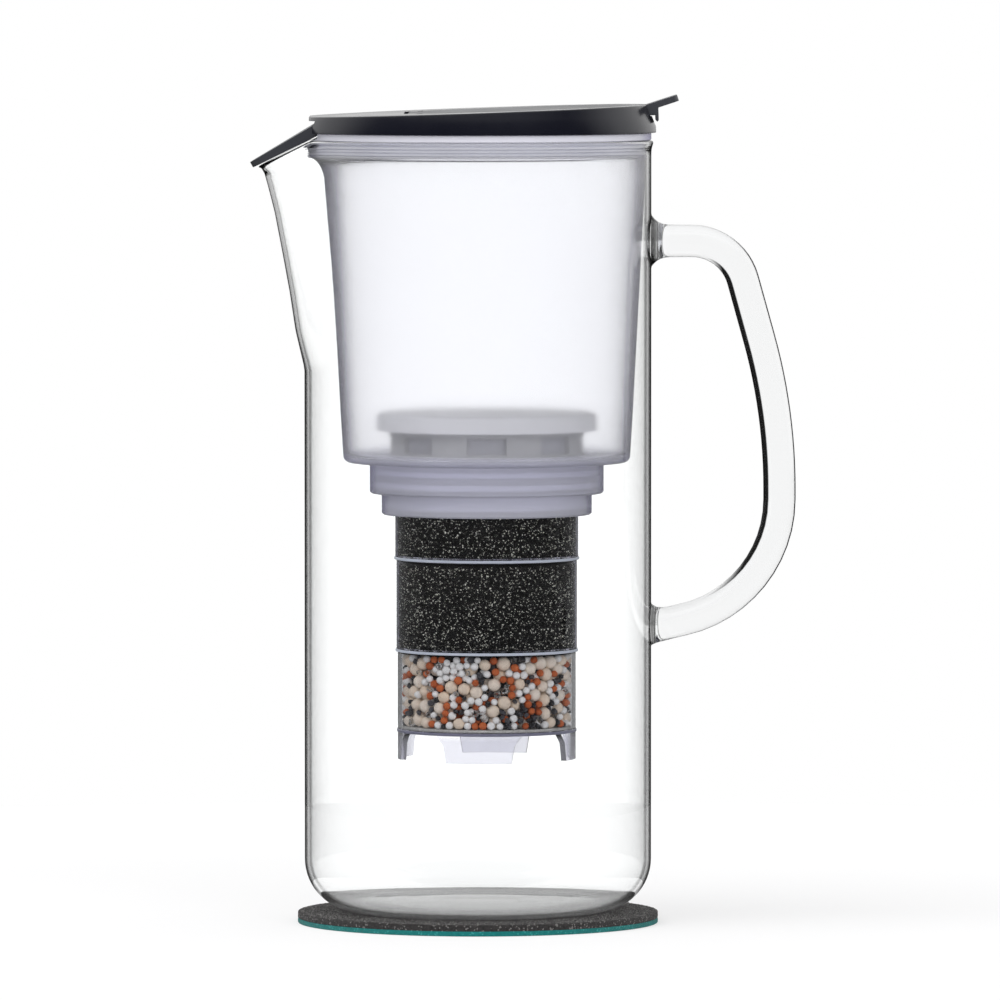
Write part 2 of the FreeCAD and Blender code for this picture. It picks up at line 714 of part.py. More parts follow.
def fill_flap_pin():
    half = fill_barrel_half_width + swing_gap + fill_pin_hold - pin_play
    return on_lid(rod_y(pin_radius, fill_hinge_x, -fill_barrel_radius, half))


def spout_flap_plan(inset, start, half_height):
    """Plan outline of the flap along its length, as a slab."""
    wide = spout_flap_half_width - inset
    narrow = spout_flap_tip_half_width - inset
    shoulder = spout_flap_length - spout_flap_bow - inset
    tip = spout_flap_length - inset
    corners = [vec(shoulder, narrow, 0), vec(spout_flap_straight, wide, 0), vec(start, wide, 0),
               vec(start, -wide, 0), vec(spout_flap_straight, -wide, 0), vec(shoulder, -narrow, 0)]
    edges = [Part.makeLine(corners[k], corners[k + 1]) for k in range(5)]
    edges.append(Part.Arc(corners[5], vec(tip, 0, 0), corners[0]).toShape())
    slab = Part.Face(Part.Wire(edges)).extrude(vec(0, 0, 2 * half_height))
    slab.translate(vec(0, 0, -half_height))
    return slab


def spout_flap():
    root = spout_barrel_radius
    tip = spout_flap_tip_thickness / 2
    reach = spout_flap_length
    wedge = prism([(0, -root), (reach, -tip), (reach, tip), (0, root)], spout_flap_half_width)
    plate = wedge.common(spout_flap_plan(0, 0, root + cut_overrun))
    hollow = prism([(0, -root), (reach, -root), (reach, tip - spout_flap_skin), (0, root - spout_flap_skin)],
                   spout_flap_half_width)
    hollow = hollow.common(spout_flap_plan(spout_flap_skin, spout_barrel_radius + spout_flap_skin, root))
    barrel = rod_y(root, 0, 0, spout_flap_half_width)
    bore = rod_y(pin_radius + pin_play, 0, 0, spout_flap_half_width)
    flap = plate.cut(hollow).fuse(barrel).cut(bore)
    flap.rotate(vec(0, 0, 0), vec(0, 1, 0), spout_flap_angle)
    flap.rotate(vec(0, 0, 0), vec(0, 0, 1), 180)
    flap.translate(vec(spout_hinge_x, 0, spout_hinge_z))
    return flap


def spout_flap_pin():
    return rod_y(pin_radius, spout_hinge_x, spout_hinge_z, spout_pocket_half + spout_pin_hold - pin_play)


felt_top_z = grip_top_z - felt_thickness
pieces = {
    "coaster_base_felt": felt_disc(0, coaster_base_thickness),
    "coaster_top_felt": felt_disc(coaster_base_thickness, coaster_top_thickness),
    "glass_jug": glass_jug(),
    "glass_handle": glass_handle(),
    "hopper": hopper(),
    "rim_seal": rim_seal(),
    "lid_body": lid_body(),
    "lid_seal": lid_seal(),
    "fill_flap": fill_flap(),
    "fill_flap_pin": fill_flap_pin(),
    "spout_flap": spout_flap(),
    "spout_flap_pin": spout_flap_pin(),
    "cartridge_cap": cartridge_cap(),
    "cartridge_head": cartridge_head(),
    "cartridge_o_rings": cartridge_o_rings(),
    "inlet_screen": inlet_screen(),
    "inlet_felt": felt_pad(cartridge_radius, felt_top_z),
    "upper_chamber": upper_chamber(),
    "middle_chamber": middle_chamber(),
    "lower_chamber": lower_chamber(),
    "upper_felt": felt_pad(cartridge_radius, upper_z + chamber_floor),
    "middle_felt": felt_pad(middle_radius, middle_z + chamber_floor),
    "lower_felt": felt_pad(lower_radius, lower_z + chamber_floor),
    "upper_carbon_bed": carbon_bed(cartridge_radius, upper_z, felt_top_z),
    "middle_carbon_bed": carbon_bed(middle_radius, middle_z, upper_z - spigot_height),
    "mineral_core": mineral_core(),
}
pieces.update(mineral_balls())

os.makedirs("parts", exist_ok=True)
for name, shape in pieces.items():
    shape.exportStep("parts/" + name + ".step")
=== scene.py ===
# %% [markdown]
# # A glass water filter pitcher on its felt coaster
# The pitcher is a tall glass jug. A frosted hopper hangs in its mouth, a filter cartridge of three
# clear cups hangs in the hopper, and a dark lid with two flaps closes it. The solid model gives the
# frame, with each moving body in place. Here every piece gets its real skin: glass, moulded plastic,
# carbon grains, ceramic balls and felt.

# %% Load the frame
import bpy
import math
import numpy as np
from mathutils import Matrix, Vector


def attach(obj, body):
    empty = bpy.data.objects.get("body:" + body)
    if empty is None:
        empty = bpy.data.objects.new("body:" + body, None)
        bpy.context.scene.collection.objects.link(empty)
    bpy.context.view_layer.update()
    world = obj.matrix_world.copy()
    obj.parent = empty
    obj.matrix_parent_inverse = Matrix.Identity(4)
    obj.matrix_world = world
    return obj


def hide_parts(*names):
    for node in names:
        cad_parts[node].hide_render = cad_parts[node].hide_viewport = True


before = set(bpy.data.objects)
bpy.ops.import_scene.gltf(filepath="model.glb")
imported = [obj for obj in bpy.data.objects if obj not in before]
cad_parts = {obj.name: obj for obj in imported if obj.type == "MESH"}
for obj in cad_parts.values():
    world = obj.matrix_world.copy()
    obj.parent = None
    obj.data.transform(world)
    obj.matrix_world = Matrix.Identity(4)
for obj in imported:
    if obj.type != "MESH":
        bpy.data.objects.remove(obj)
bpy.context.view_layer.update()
scene = bpy.context.scene
mm = 0.001

# %% [markdown]
# ## The camera
# The photograph looks straight at the side, from far away and a little above the middle. A long lens
# far away keeps the jug's walls upright, where a short lens would make the base look narrow.

# %% Camera
shot_centre = Vector((8.0 * mm, 0, 153.0 * mm))
shot_from = Vector((8.0 * mm, -4.5, 370 * mm))
shot_width, sensor = 361.8 * mm, 36
bpy.ops.object.camera_add(location=shot_from)
camera = bpy.context.object
camera.rotation_euler = (shot_centre - shot_from).to_track_quat("-Z", "Y").to_euler()
camera.data.sensor_width = sensor
camera.data.lens = sensor * (shot_centre - shot_from).length / shot_width
camera.data.clip_end = 100
scene.camera = camera
scene.view_settings.view_transform = "Standard"
scene.cycles.max_bounces = 24
scene.cycles.transmission_bounces = 20
scene.cycles.transparent_max_bounces = 24
print("lens", round(camera.data.lens), "mm")

# %% [markdown]
# ## Small helpers for node trees
# Every finish below is a node tree. These helpers add a node, set its sockets and link it, so that
# each finish reads as a short list. Texture patterns read Object coordinates: a piece's object sits
# at the origin, so one unit of the pattern is one metre on the piece.

# %% Node helpers
def new_finish(name):
    finish = bpy.data.materials.new(name)
    finish.use_nodes = True
    finish.node_tree.nodes.clear()
    return finish, finish.node_tree


def add(tree, kind, **sockets):
    """A new node; each keyword is a socket's name, with _ for a space, and a value or an output."""
    node = tree.nodes.new("ShaderNode" + kind)
    for key, value in sockets.items():
        put(tree, node.inputs[key.replace("_", " ")], value)
    return node


def put(tree, socket, value):
    if isinstance(value, bpy.types.NodeSocket):
        tree.links.new(value, socket)
    else:
        socket.default_value = value


def math_of(tree, operation, *values):
    node = add(tree, "Math")
    node.operation = operation
    for socket, value in zip(node.inputs, values):
        put(tree, socket, value)
    return node.outputs[0]


def times(tree, first, second):
    return math_of(tree, "MULTIPLY", first, second)


def mix_of(tree, share, off, on):
    return add(tree, "Mix", Factor=share, A=off, B=on).outputs[0]


def colour_mix(tree, share, off, on):
    node = add(tree, "Mix")
    node.data_type = "RGBA"
    for k, value in ((0, share), (6, off), (7, on)):
        put(tree, node.inputs[k], value)
    return node.outputs[2]


def blend_of(tree, share, off, on):
    """A blend of two shaders."""
    node = add(tree, "MixShader", Fac=share)
    tree.links.new(off, node.inputs[1])
    tree.links.new(on, node.inputs[2])
    return node.outputs[0]


def ramp_of(tree, value, *stops):
    """A colour ramp through (place, colour) stops."""
    node = add(tree, "ValToRGB", Fac=value)
    marks = node.color_ramp.elements
    while len(marks) < len(stops):
        marks.new(0.5)
    for mark, (place, colour) in zip(marks, stops):
        mark.position = place
        mark.color = (*colour, 1)
    return node.outputs["Color"]


def span_of(tree, value, low, high, to_low, to_high):
    node = add(tree, "MapRange", Value=value)
    for socket, number in zip(node.inputs[1:5], (low, high, to_low, to_high)):
        socket.default_value = number
    return node.outputs[0]


def noise_of(tree, place, scale, detail=4.0, roughness=0.55):
    node = add(tree, "TexNoise", Vector=place, Scale=scale, Detail=detail, Roughness=roughness)
    return node.outputs["Fac"]


def object_place(tree, stretch=(1, 1, 1)):
    place = add(tree, "TexCoord").outputs["Object"]
    return add(tree, "Mapping", Vector=place, Scale=stretch).outputs[0]


def bump_of(tree, height, distance, strength=1.0):
    return add(tree, "Bump", Height=height, Distance=distance, Strength=strength).outputs[0]


def show(tree, shader, volume=None):
    out = add(tree, "OutputMaterial", Surface=shader)
    if volume is not None:
        tree.links.new(volume, out.inputs["Volume"])


def show_skin(tree, tint, patch, smoothest, roughest, height, depth, **sockets):
    """Ends an opaque finish: its roughness follows the noise patch, and its bump has a depth in mm."""
    skin = add(tree, "BsdfPrincipled", Base_Color=tint, Normal=bump_of(tree, height, depth * mm),
               Roughness=span_of(tree, patch, 0.3, 0.7, smoothest, roughest), **sockets)
    show(tree, skin.outputs[0])


def wear(piece, finish):
    piece.data.materials.clear()
    piece.data.materials.append(finish)


print("node helpers ready")

# %% [markdown]
# ## Studio light
# Clear glass has no colour of its own: it shows the room. This room is white for rays that pass
# through the glass. For mirrored rays it is dim in front and low down, so that the dark lid and the
# carbon behind glass don't turn grey. Transmission Depth tells the rays apart: it counts the surfaces
# that a ray has passed, and every glass wall has two. Scattered light is even and weaker, and two wide
# lamps give the pieces their shading.

# %% World
one_wall, no_wall = 2.5, 0.5
behind_wall, behind_layers = 1.03, 1.36
mirrored_once, mirrored_often, scattered = 0.95, 0.8, 0.6
front_dark = 0.94
dim_outside, dim_behind_wall, dim_behind_layers = 1.0, 0.3, 0.85


def dim_share(tree, path):
    """Whether a ray passed one wall at most, and its share of the dimness when it is mirrored."""
    depth = path.outputs["Transmission Depth"]
    once_through = math_of(tree, "LESS_THAN", depth, one_wall)
    near = mix_of(tree, math_of(tree, "LESS_THAN", depth, no_wall), dim_behind_wall, dim_outside)
    return once_through, mix_of(tree, once_through, dim_behind_layers, near)


world = bpy.data.worlds.new("studio")
scene.world = world
world.use_nodes = True
tree = world.node_tree
tree.nodes.clear()
path = add(tree, "LightPath")
way = add(tree, "SeparateXYZ", Vector=add(tree, "TexCoord").outputs["Generated"])
once_through, dim = dim_share(tree, path)
front_side = span_of(tree, way.outputs["Y"], -0.25, 0.25, 1.0, 0.0)
low_side = span_of(tree, way.outputs["Z"], -0.03, 0.0, 1.0, 0.0)
dim_part = math_of(tree, "MAXIMUM", times(tree, front_side, once_through),
                   times(tree, low_side, dim))
below_lamp = span_of(tree, way.outputs["Z"], 0.55, 0.85, front_dark, 0.0)
once_mirrored = math_of(tree, "SUBTRACT", mirrored_once, times(tree, dim_part, below_lamp))
glossy = path.outputs["Glossy Depth"]
mirrored = mix_of(tree, math_of(tree, "GREATER_THAN", glossy, 1.5), once_mirrored, mirrored_often)
seen_through = mix_of(tree, once_through, behind_layers, behind_wall)
studio = mix_of(tree, math_of(tree, "GREATER_THAN", glossy, 0.5), seen_through, mirrored)
seen = mix_of(tree, path.outputs["Is Camera Ray"], studio, 1.0)
is_scattered = math_of(tree, "GREATER_THAN", path.outputs["Diffuse Depth"], 0.5)
sky = add(tree, "Background", Color=(1, 1, 1, 1), Strength=mix_of(tree, is_scattered, seen, scattered))
add(tree, "OutputWorld", Surface=sky.outputs[0])
world.cycles.sampling_method = "NONE"


def soft_sun(name, place, softness, strength):
    """A far lamp with a wide disc, so that its light is even and its shadows are soft."""
    bpy.ops.object.light_add(type="SUN", location=place)
    lamp = bpy.context.object
    lamp.name = name
    lamp.rotation_euler = (-Vector(place)).to_track_quat("-Z", "Y").to_euler()
    lamp.data.angle = math.radians(softness)
    lamp.data.energy = strength
    lamp.visible_glossy = False
    lamp.visible_transmission = False


soft_sun("key_lamp", (-1.0, -0.7, 1.5), 50, 1.5)
soft_sun("front_lamp", (0.3, -1.0, 0.4), 60, 1.7)

# %% [markdown]
# ## The floor
# The photograph's ground is pure white with a faint shadow. A floor that is half lit surface and half
# plain white keeps that shadow soft and lets the rest fade into the background. Mirrored rays see the
# ground dim, in front and away from the coaster, as they see the room.

# %% Floor
floor_radius, ground_z, coaster_clear, front_edge = 0.6, -0.05 * mm, 0.1, -0.08
floor_white, floor_dim = (0.84, 0.84, 0.845), (0.14, 0.14, 0.14)
plain_share, glow_layers, glow_near = 0.5, 1.45, 1.08
bpy.ops.mesh.primitive_circle_add(vertices=96, radius=floor_radius, fill_type="NGON",
                                  location=(0, 0, ground_z))
floor = bpy.context.object
floor.name = "floor"
finish, tree = new_finish("floor_white")
path = add(tree, "LightPath")
place = add(tree, "TexCoord").outputs["Object"]
from_axis = add(tree, "VectorMath", Vector=place)
from_axis.operation = "LENGTH"
few, dim = dim_share(tree, path)
in_front = math_of(tree, "LESS_THAN", add(tree, "SeparateXYZ", Vector=place).outputs["Y"], front_edge)
around = math_of(tree, "GREATER_THAN", from_axis.outputs["Value"], coaster_clear)
dark_ground = math_of(tree, "MAXIMUM", in_front, times(tree, around, dim))
is_glossy = math_of(tree, "GREATER_THAN", path.outputs["Glossy Depth"], 0.5)
dimmed = times(tree, dark_ground, is_glossy)
lit = add(tree, "BsdfDiffuse", Color=ramp_of(tree, dimmed, (0.0, floor_white), (1.0, floor_dim)))
glow = times(tree, span_of(tree, few, 0, 1, glow_layers, glow_near),
               math_of(tree, "SUBTRACT", 1.0, dimmed))
plain = add(tree, "Emission", Color=(1, 1, 1, 1), Strength=glow)
direct = math_of(tree, "LESS_THAN", math_of(tree, "ADD", path.outputs["Diffuse Depth"], dimmed), 0.5)
show(tree, blend_of(tree, times(tree, direct, plain_share), lit.outputs[0], plain.outputs[0]))
wear(floor, finish)
print("floor", floor.dimensions[:])

# %% [markdown]
# ## The lathe
# Most of the pitcher is round. A turned piece starts as one point that is extruded along the piece's
# half outline, and the Spin tool then sweeps that line round the upright axis. Drawing both sides of
# a wall in one outline gives it its true thickness, which glass needs to bend light.

# %% Lathe helpers
def arc(x, z, radius, first, last, count):
    """Points of a round in the outline, by angles in degrees from +X towards +Z."""
    turns = [math.radians(first + (last - first) * k / count) for k in range(count + 1)]
    return [(x + radius * math.cos(t), z + radius * math.sin(t)) for t in turns]


def rows(x, z0, z1, count):
    """Points up a wall, without its ends."""
    return [(x, z0 + (z1 - z0) * k / count) for k in range(1, count)]


def pick(*pieces):
    """Selects these pieces alone and makes the first one active."""
    bpy.ops.object.select_all(action="DESELECT")
    for piece in pieces:
        piece.select_set(True)
    bpy.context.view_layer.objects.active = pieces[0]


def mend(merge):
    """Leaves Edit mode with close points merged (mm) and all faces turned outwards."""
    bpy.ops.mesh.select_all(action="SELECT")
    bpy.ops.mesh.remove_doubles(threshold=merge * mm)
    bpy.ops.mesh.normals_make_consistent(inside=False)
    bpy.ops.object.mode_set(mode="OBJECT")


def turned(name, outline, steps=160, closed=False):
    """Spins an outline of (radius, height) points in millimetres round the upright axis."""
    points = [(x * mm, z * mm) for x, z in outline]
    if closed:
        points.append(points[0])
    bpy.ops.mesh.primitive_plane_add(size=mm)
    piece = bpy.context.object
    piece.name = name
    piece.data.name = name
    bpy.ops.object.mode_set(mode="EDIT")
    bpy.ops.mesh.merge(type="CENTER")
    bpy.ops.transform.translate(value=(points[0][0], 0, points[0][1]))
    for (x0, z0), (x1, z1) in zip(points, points[1:]):
        bpy.ops.mesh.extrude_vertices_move(TRANSFORM_OT_translate={"value": (x1 - x0, 0, z1 - z0)})
    bpy.ops.mesh.select_all(action="SELECT")
    bpy.ops.mesh.spin(steps=steps, angle=2 * math.pi, center=(0, 0, 0), axis=(0, 0, 1))
    mend(0.002)
    smooth(piece)
    return piece


def smooth(piece, angle=35):
    pick(piece)
    bpy.ops.object.shade_smooth_by_angle(angle=math.radians(angle))


def reshape(piece, move):
    """Moves every point of a piece: move takes and gives (x, y, z) arrays in millimetres."""
    points = np.empty(len(piece.data.vertices) * 3)
    piece.data.vertices.foreach_get("co", points)
    x, y, z = (points.reshape(-1, 3) / mm).T
    moved = np.stack(move(x, y, z), axis=1) * mm
    piece.data.vertices.foreach_set("co", moved.ravel())
    piece.data.update()


def settle(piece, body, slot, finish, *nodes):
    wear(piece, finish)
    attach(piece, body)
    if nodes:
        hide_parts(*nodes)
    print(piece.name, len(piece.data.polygons), "faces", [round(s / mm, 1) for s in piece.dimensions])


print("lathe ready")

# %% [markdown]
# ## Clear finishes
# Glass and clear plastic are the same shader with different numbers: light passes (transmission), and
# the index of refraction says how much it bends. A faint large bump stands for the waves of blown
# glass. In a white room the edges of glass would vanish, so a dark line is painted into the colour:
# painted shade where an upright surface turns away from the eye, and on the handle also a painted
# reflection of the jug on its side towards the jug. Thick feet are a little cloudy. Lamps would cast a
# hard black shadow through such a shader, because Cycles sends no lamp light through bent rays, so for
# shadow rays alone the surface is plain see-through.

# %% Edge lines
upright_until, level_from = 0.55, 0.8
weld_until, rod_from = 74 * mm, 80 * mm


def edge_line(tree, start, end, inner=0.0):
    """1 where glass gets a painted dark edge line, on upright surfaces that turn away from the eye, else 0.
    """
    surface = add(tree, "NewGeometry")
    normal = add(tree, "SeparateXYZ", Vector=surface.outputs["Normal"])
    tilt = math_of(tree, "ABSOLUTE", normal.outputs["Z"])
    upright = span_of(tree, tilt, upright_until, level_from, 1.0, 0.0)
    from_outside = math_of(tree, "SUBTRACT", 1.0, surface.outputs["Backfacing"])
    facing = add(tree, "LayerWeight", Blend=0.5).outputs["Facing"]
    # On the handle the painted line spreads over the side that faces the jug: a painted reflection of the
    # jug.
    if inner:
        along = add(tree, "SeparateXYZ", Vector=object_place(tree)).outputs["X"]
        inward = span_of(tree, normal.outputs["X"], -1.0, 0.0, inner, 0.0)
        beyond_weld = span_of(tree, along, weld_until, rod_from, 0.0, 1.0)
        facing = math_of(tree, "ADD", facing, times(tree, inward, beyond_weld))
    turned_away = span_of(tree, facing, start, end, 0.0, 1.0)
    return times(tree, turned_away, times(tree, upright, from_outside))


def show_clear(tree, shader, shade, murk):
    """Ends a clear finish: see-through for shadow rays, and with murk (density, colour) inside."""
    through = add(tree, "BsdfTransparent", Color=(*shade, 1)).outputs[0]
    either = blend_of(tree, add(tree, "LightPath").outputs["Is Shadow Ray"], shader, through)
    volume = None
    if murk:
        density, colour = murk
        volume = add(tree, "VolumeAbsorption", Density=density, Color=(*colour, 1)).outputs[0]
    show(tree, either, volume)


print("edge lines ready")

# %% Clear finishes
def clear_finish(name, colour, index, roughness, wave, wave_scale, shade, murk=None, cloud=None, line=None):
    """cloud: (height, clear share below it, tint); line, a painted dark edge: (start, end, inner, colour,
    solid share).
    """
    finish, tree = new_finish(name)
    place = object_place(tree, (1, 1, 0.35))
    height = noise_of(tree, place, wave_scale, 2.0, 0.4)
    smear = noise_of(tree, place, wave_scale * 3, 3.0)
    glass = add(tree, "BsdfPrincipled", Base_Color=(*colour, 1), Transmission_Weight=1.0, IOR=index,
                Roughness=span_of(tree, smear, 0.45, 0.75, roughness, roughness + 0.025),
                Normal=bump_of(tree, height, wave * mm))
    body = glass.outputs[0]
    if line:
        start, end, inner, dark, solid = line
        # Painted shade: along the edge line the glass's colour turns dark, and a share of dark diffuse is
        # mixed in.
        edge = edge_line(tree, start, end, inner)
        tree.links.new(ramp_of(tree, edge, (0.0, colour), (1.0, dark)), glass.inputs["Base Color"])
        if solid:
            painted_edge_dark = add(tree, "BsdfDiffuse", Color=(*dark, 1)).outputs[0]
            body = blend_of(tree, times(tree, edge, solid), body, painted_edge_dark)
    if cloud:
        cloudy_below, clear_share, foot_tint = cloud
        level = add(tree, "SeparateXYZ", Vector=object_place(tree)).outputs["Z"]
        band = ((cloudy_below - 2) * mm, cloudy_below * mm)
        tree.links.new(span_of(tree, level, *band, clear_share, 1.0), glass.inputs["Transmission Weight"])
        if foot_tint:
            rise = span_of(tree, level, *band, 0.0, 1.0)
            tree.links.new(ramp_of(tree, rise, (0.0, foot_tint), (1.0, colour)), glass.inputs["Base Color"])
    show_clear(tree, body, shade, murk)
    return finish


glass_clear, glass_index, plastic_index = (0.985, 0.99, 0.99), 1.47, 1.3
cup_shade, cup_murk = (0.96, 0.96, 0.97), (30.0, (0.55, 0.55, 0.66))
# Each line paints a dark edge into the glass as painted shade, on the handle also a painted reflection of the
# jug; the cups get a painted lavender grey edge.
jug_glass = clear_finish(
    "jug_glass", glass_clear, glass_index, 0.0, 0.03, 30, (0.97, 0.97, 0.97), (9.0, (0.45, 0.44, 0.43)),
    cloud=(9.0, 0.84, None), line=(0.8, 0.88, 0.0, (0.02, 0.02, 0.02), 0.7))
rod_glass = clear_finish(
    "rod_glass", glass_clear, glass_index, 0.0, 0.05, 45, (0.95, 0.95, 0.955), (6.0, (0.5, 0.5, 0.52)),
    line=(0.62, 0.7, 0.56, (0.004, 0.004, 0.004), 0.85))
cup_plastic = clear_finish(
    "cup_plastic", (0.98, 0.98, 0.99), plastic_index, 0.015, 0.01, 60, cup_shade, cup_murk,
    line=(0.6, 0.85, 0.0, (0.3, 0.3, 0.42), 0.0))
footed_plastic = clear_finish(
    "footed_plastic", (0.97, 0.97, 0.985), plastic_index, 0.015, 0.01, 60, cup_shade, cup_murk,
    cloud=(69.3, 0.85, (0.86, 0.86, 0.92)))
print("clear finishes", jug_glass.name, rod_glass.name, cup_plastic.name, footed_plastic.name)

# %% [markdown]
# ## The glass jug
# A blown jug: a thick rounded foot, straight walls, a small bead at the rim and a spout that was
# pulled out of the hot wall. It is turned first, with close rows near the rim. The spout is then
# pulled as a glass worker does it: the points of the front wall move outwards, most in the middle and
# less to the sides, and the rim dips with them.

# %% Jug
jug_radius, jug_inside, jug_wall = 62.7, 61.1, 1.6
foot_z, foot_round, punt = 4.2, 19.0, 1.2
rim_z, spout_root, spout_tip = 283.3, 200.7, 274.0
foot_flat = jug_radius - foot_round


def bead(z):
    return np.exp(-((rim_z - z) / 2.2) ** 2)


lip = 1.15
lip_z = rim_z - lip
wall_rows = [z for _, z in rows(0, 190, 274, 34)] + [275.5 + 1.1 * k for k in range(6)]
outside = [(0, foot_z + punt), (18, foot_z + 0.95), (30, foot_z + 0.3), (35, foot_z)]
outside += arc(foot_flat, foot_z + foot_round, foot_round, -90, 0, 16)
outside += [(jug_radius, z) for z in (40, 80, 120, 160, 190)]
outside += [(jug_radius + float(bead(z)), z) for z in wall_rows]
top = arc(jug_inside + lip, lip_z, lip, 0, 180, 8)
inside = [(jug_inside, z) for z in reversed(wall_rows)] + [(jug_inside, z) for z in (190, 160, 120, 80, 40)]
floor_z = foot_z + 2.0
inside += arc(foot_flat, foot_z + foot_round, foot_round - jug_wall, 0, -84, 16)
floor_rings = ((40, 0), (36, 0.12), (31, 0.5), (27, 0.55), (21, 1.0), (12, 1.05), (0, punt))
inside += [(radius, floor_z + rise) for radius, rise in floor_rings]
jug = turned("jug", outside + top + inside, 256)

spout_out, rim_out, spout_spread = 16.3, 20.0, math.radians(38)
rises = np.array((0, 0.187, 0.374, 0.563, 0.768, 0.886, 0.965, 1.0))
reaches = np.array((0, 0.199, 0.325, 0.48, 0.657, 0.79, 0.889, 1.0))
spout_heights = np.append(rises * (spout_tip - spout_root) + spout_root, rim_z)
spout_reaches = np.append(reaches * spout_out, rim_out)
lip_slope, lip_level, lip_start = 0.4997, 284.905, -57.2


def spout_reach(z):
    return np.interp(z, spout_heights, spout_reaches)


def pull_spout(x, y, z):
    """Pulls the front wall out; the rim's new height under the flap is found by halving."""
    angle = np.arctan2(y, -x)
    share = np.clip(1 - (angle / spout_spread) ** 2, 0, 1) ** 4
    low, high = np.full_like(z, spout_root), np.full_like(z, rim_z)
    for _ in range(30):
        middle = (low + high) / 2
        out = -(jug_radius + spout_reach(middle) * share) * np.cos(angle)
        above = middle > lip_level + lip_slope * (out - lip_start)
        high = np.where(above, middle, high)
        low = np.where(above, low, middle)
    edge = np.where(share > 0, low, rim_z)
    lift = np.clip((z - spout_root) / (rim_z - spout_root), 0, 1)
    lowered = np.where(z > spout_root, spout_root + lift * (edge - spout_root), z)
    out = spout_reach(lowered) * share
    radius = np.hypot(x, y)
    swell = np.where((radius > jug_radius - 0.1) & (z < lip_z), bead(z) * share, 0)
    scale = np.where(radius > 1, (radius + out - swell) / np.maximum(radius, 1), 1)
    return x * scale, y * scale, lowered


reshape(jug, pull_spout)
settle(jug, "jug", "clear_glass", jug_glass, "glass_jug")

# %% [markdown]
# ## The glass handle
# A solid glass rod, bent in the flame and melted onto the wall at both ends. It is a curve with a
# round section: its points have a radius each, so the ends swell into the welds, and the bends come
# from the curve's own handles. The lower end slopes down to the wall and levels out in the weld.

# %% Handle
rod_radius = 5.85
rod_line = ((62.7, 246.8), (91.93, 246.8), (109.1, 184.91), (109.1, 117.58), (62.7, 107.1))
corners = [Vector(p) for p in rod_line]
bends = (0.5, 0.43, 0.53)
first_way = (corners[1] - corners[0]).normalized()
last_way = (corners[4] - corners[3]).normalized()
weld_run, level_at, wall_gap = 6.6, 0.8, 0.12
top_weld = ((-0.6, 10.2), (0.8, 8.3), (2.4, 6.9), (4.4, 6.15), (weld_run, rod_radius))
low_weld = ((weld_run, rod_radius), (4.4, 6.1), (2.4, 6.4), (0.8, 7.1), (-0.6, 8.0))
stops = [(corners[0] + first_way * at, first_way, 0, radius) for at, radius in top_weld]
for k in (1, 2, 3):
    before, after = corners[k - 1] - corners[k], corners[k + 1] - corners[k]
    run = min(before.length, after.length) if k == 2 else before.length
    reach = bends[k - 1] * run
    half = before.angle(after) / 2
    begin, end = corners[k] + before.normalized() * reach, corners[k] + after.normalized() * reach
    pull = 4 / 3 * math.tan((math.pi - 2 * half) / 4) * (reach * math.tan(half))
    stops.append((begin, (corners[k] - begin).normalized(), pull, rod_radius))
    stops.append((end, (end - corners[k]).normalized(), -pull, rod_radius))
slope, levelling = last_way.y / last_way.x, weld_run - level_at
for at, radius in low_weld:
    ahead = max(at - level_at, 0.0)
    rise = slope * (weld_run - levelling / 2 + ahead ** 2 / (2 * levelling))
    heading = Vector((-1.0, -slope * ahead / levelling)).normalized()
    stops.append((corners[4] + Vector((at, rise)), heading, 0, radius))

bpy.ops.curve.primitive_bezier_curve_add()
rod = bpy.context.object
rod.name = "handle"
rod.data.dimensions = "3D"
rod.data.bevel_depth = rod_radius * mm
rod.data.bevel_resolution = 10
rod.data.resolution_u = 12
rod.data.use_fill_caps = True
spline = rod.data.splines[0]
spline.bezier_points.add(len(stops) - len(spline.bezier_points))
spline.radius_interpolation = "BSPLINE"
gaps = [(b[0] - a[0]).length / 3 for a, b in zip(stops, stops[1:])]
for k, (point, (place, heading, pull, radius)) in enumerate(zip(spline.bezier_points, stops)):
    point.handle_left_type = point.handle_right_type = "FREE"
    before = place - heading * (-pull if pull < 0 else gaps[max(k - 1, 0)])
    after = place + heading * (pull if pull > 0 else gaps[min(k, len(gaps) - 1)])
    point.co = (place.x * mm, 0, place.y * mm)
    point.handle_left = (before.x * mm, 0, before.y * mm)
    point.handle_right = (after.x * mm, 0, after.y * mm)
    point.radius = radius / rod_radius
bpy.ops.object.convert(target="MESH")
handle = bpy.context.object
bpy.ops.object.mode_set(mode="EDIT")
mend(0.005)


def keep_off_wall(x, y, z):
    wall = np.sqrt(np.maximum((jug_radius + wall_gap) ** 2 - y ** 2, 0))
    return np.maximum(x, wall), y, z


reshape(handle, keep_off_wall)
smooth(handle, 50)
settle(handle, "jug", "clear_glass", rod_glass, "glass_handle")

# %% [markdown]
# ## The frosted hopper
# A moulded cup that hangs in the jug's mouth by its flange, a little towards the handle so that water
# can pass to the spout. Its stepped well holds the cartridge. It is turned on the axis and then slid
# sideways row by row: all of it below the flare, and less and less up to the collar. Its finish is
# clear in the cup's wall and cloudy lavender in the well and the collar, and along its edges, where it
# turns away from the eye, it has a painted shade of darker lavender.

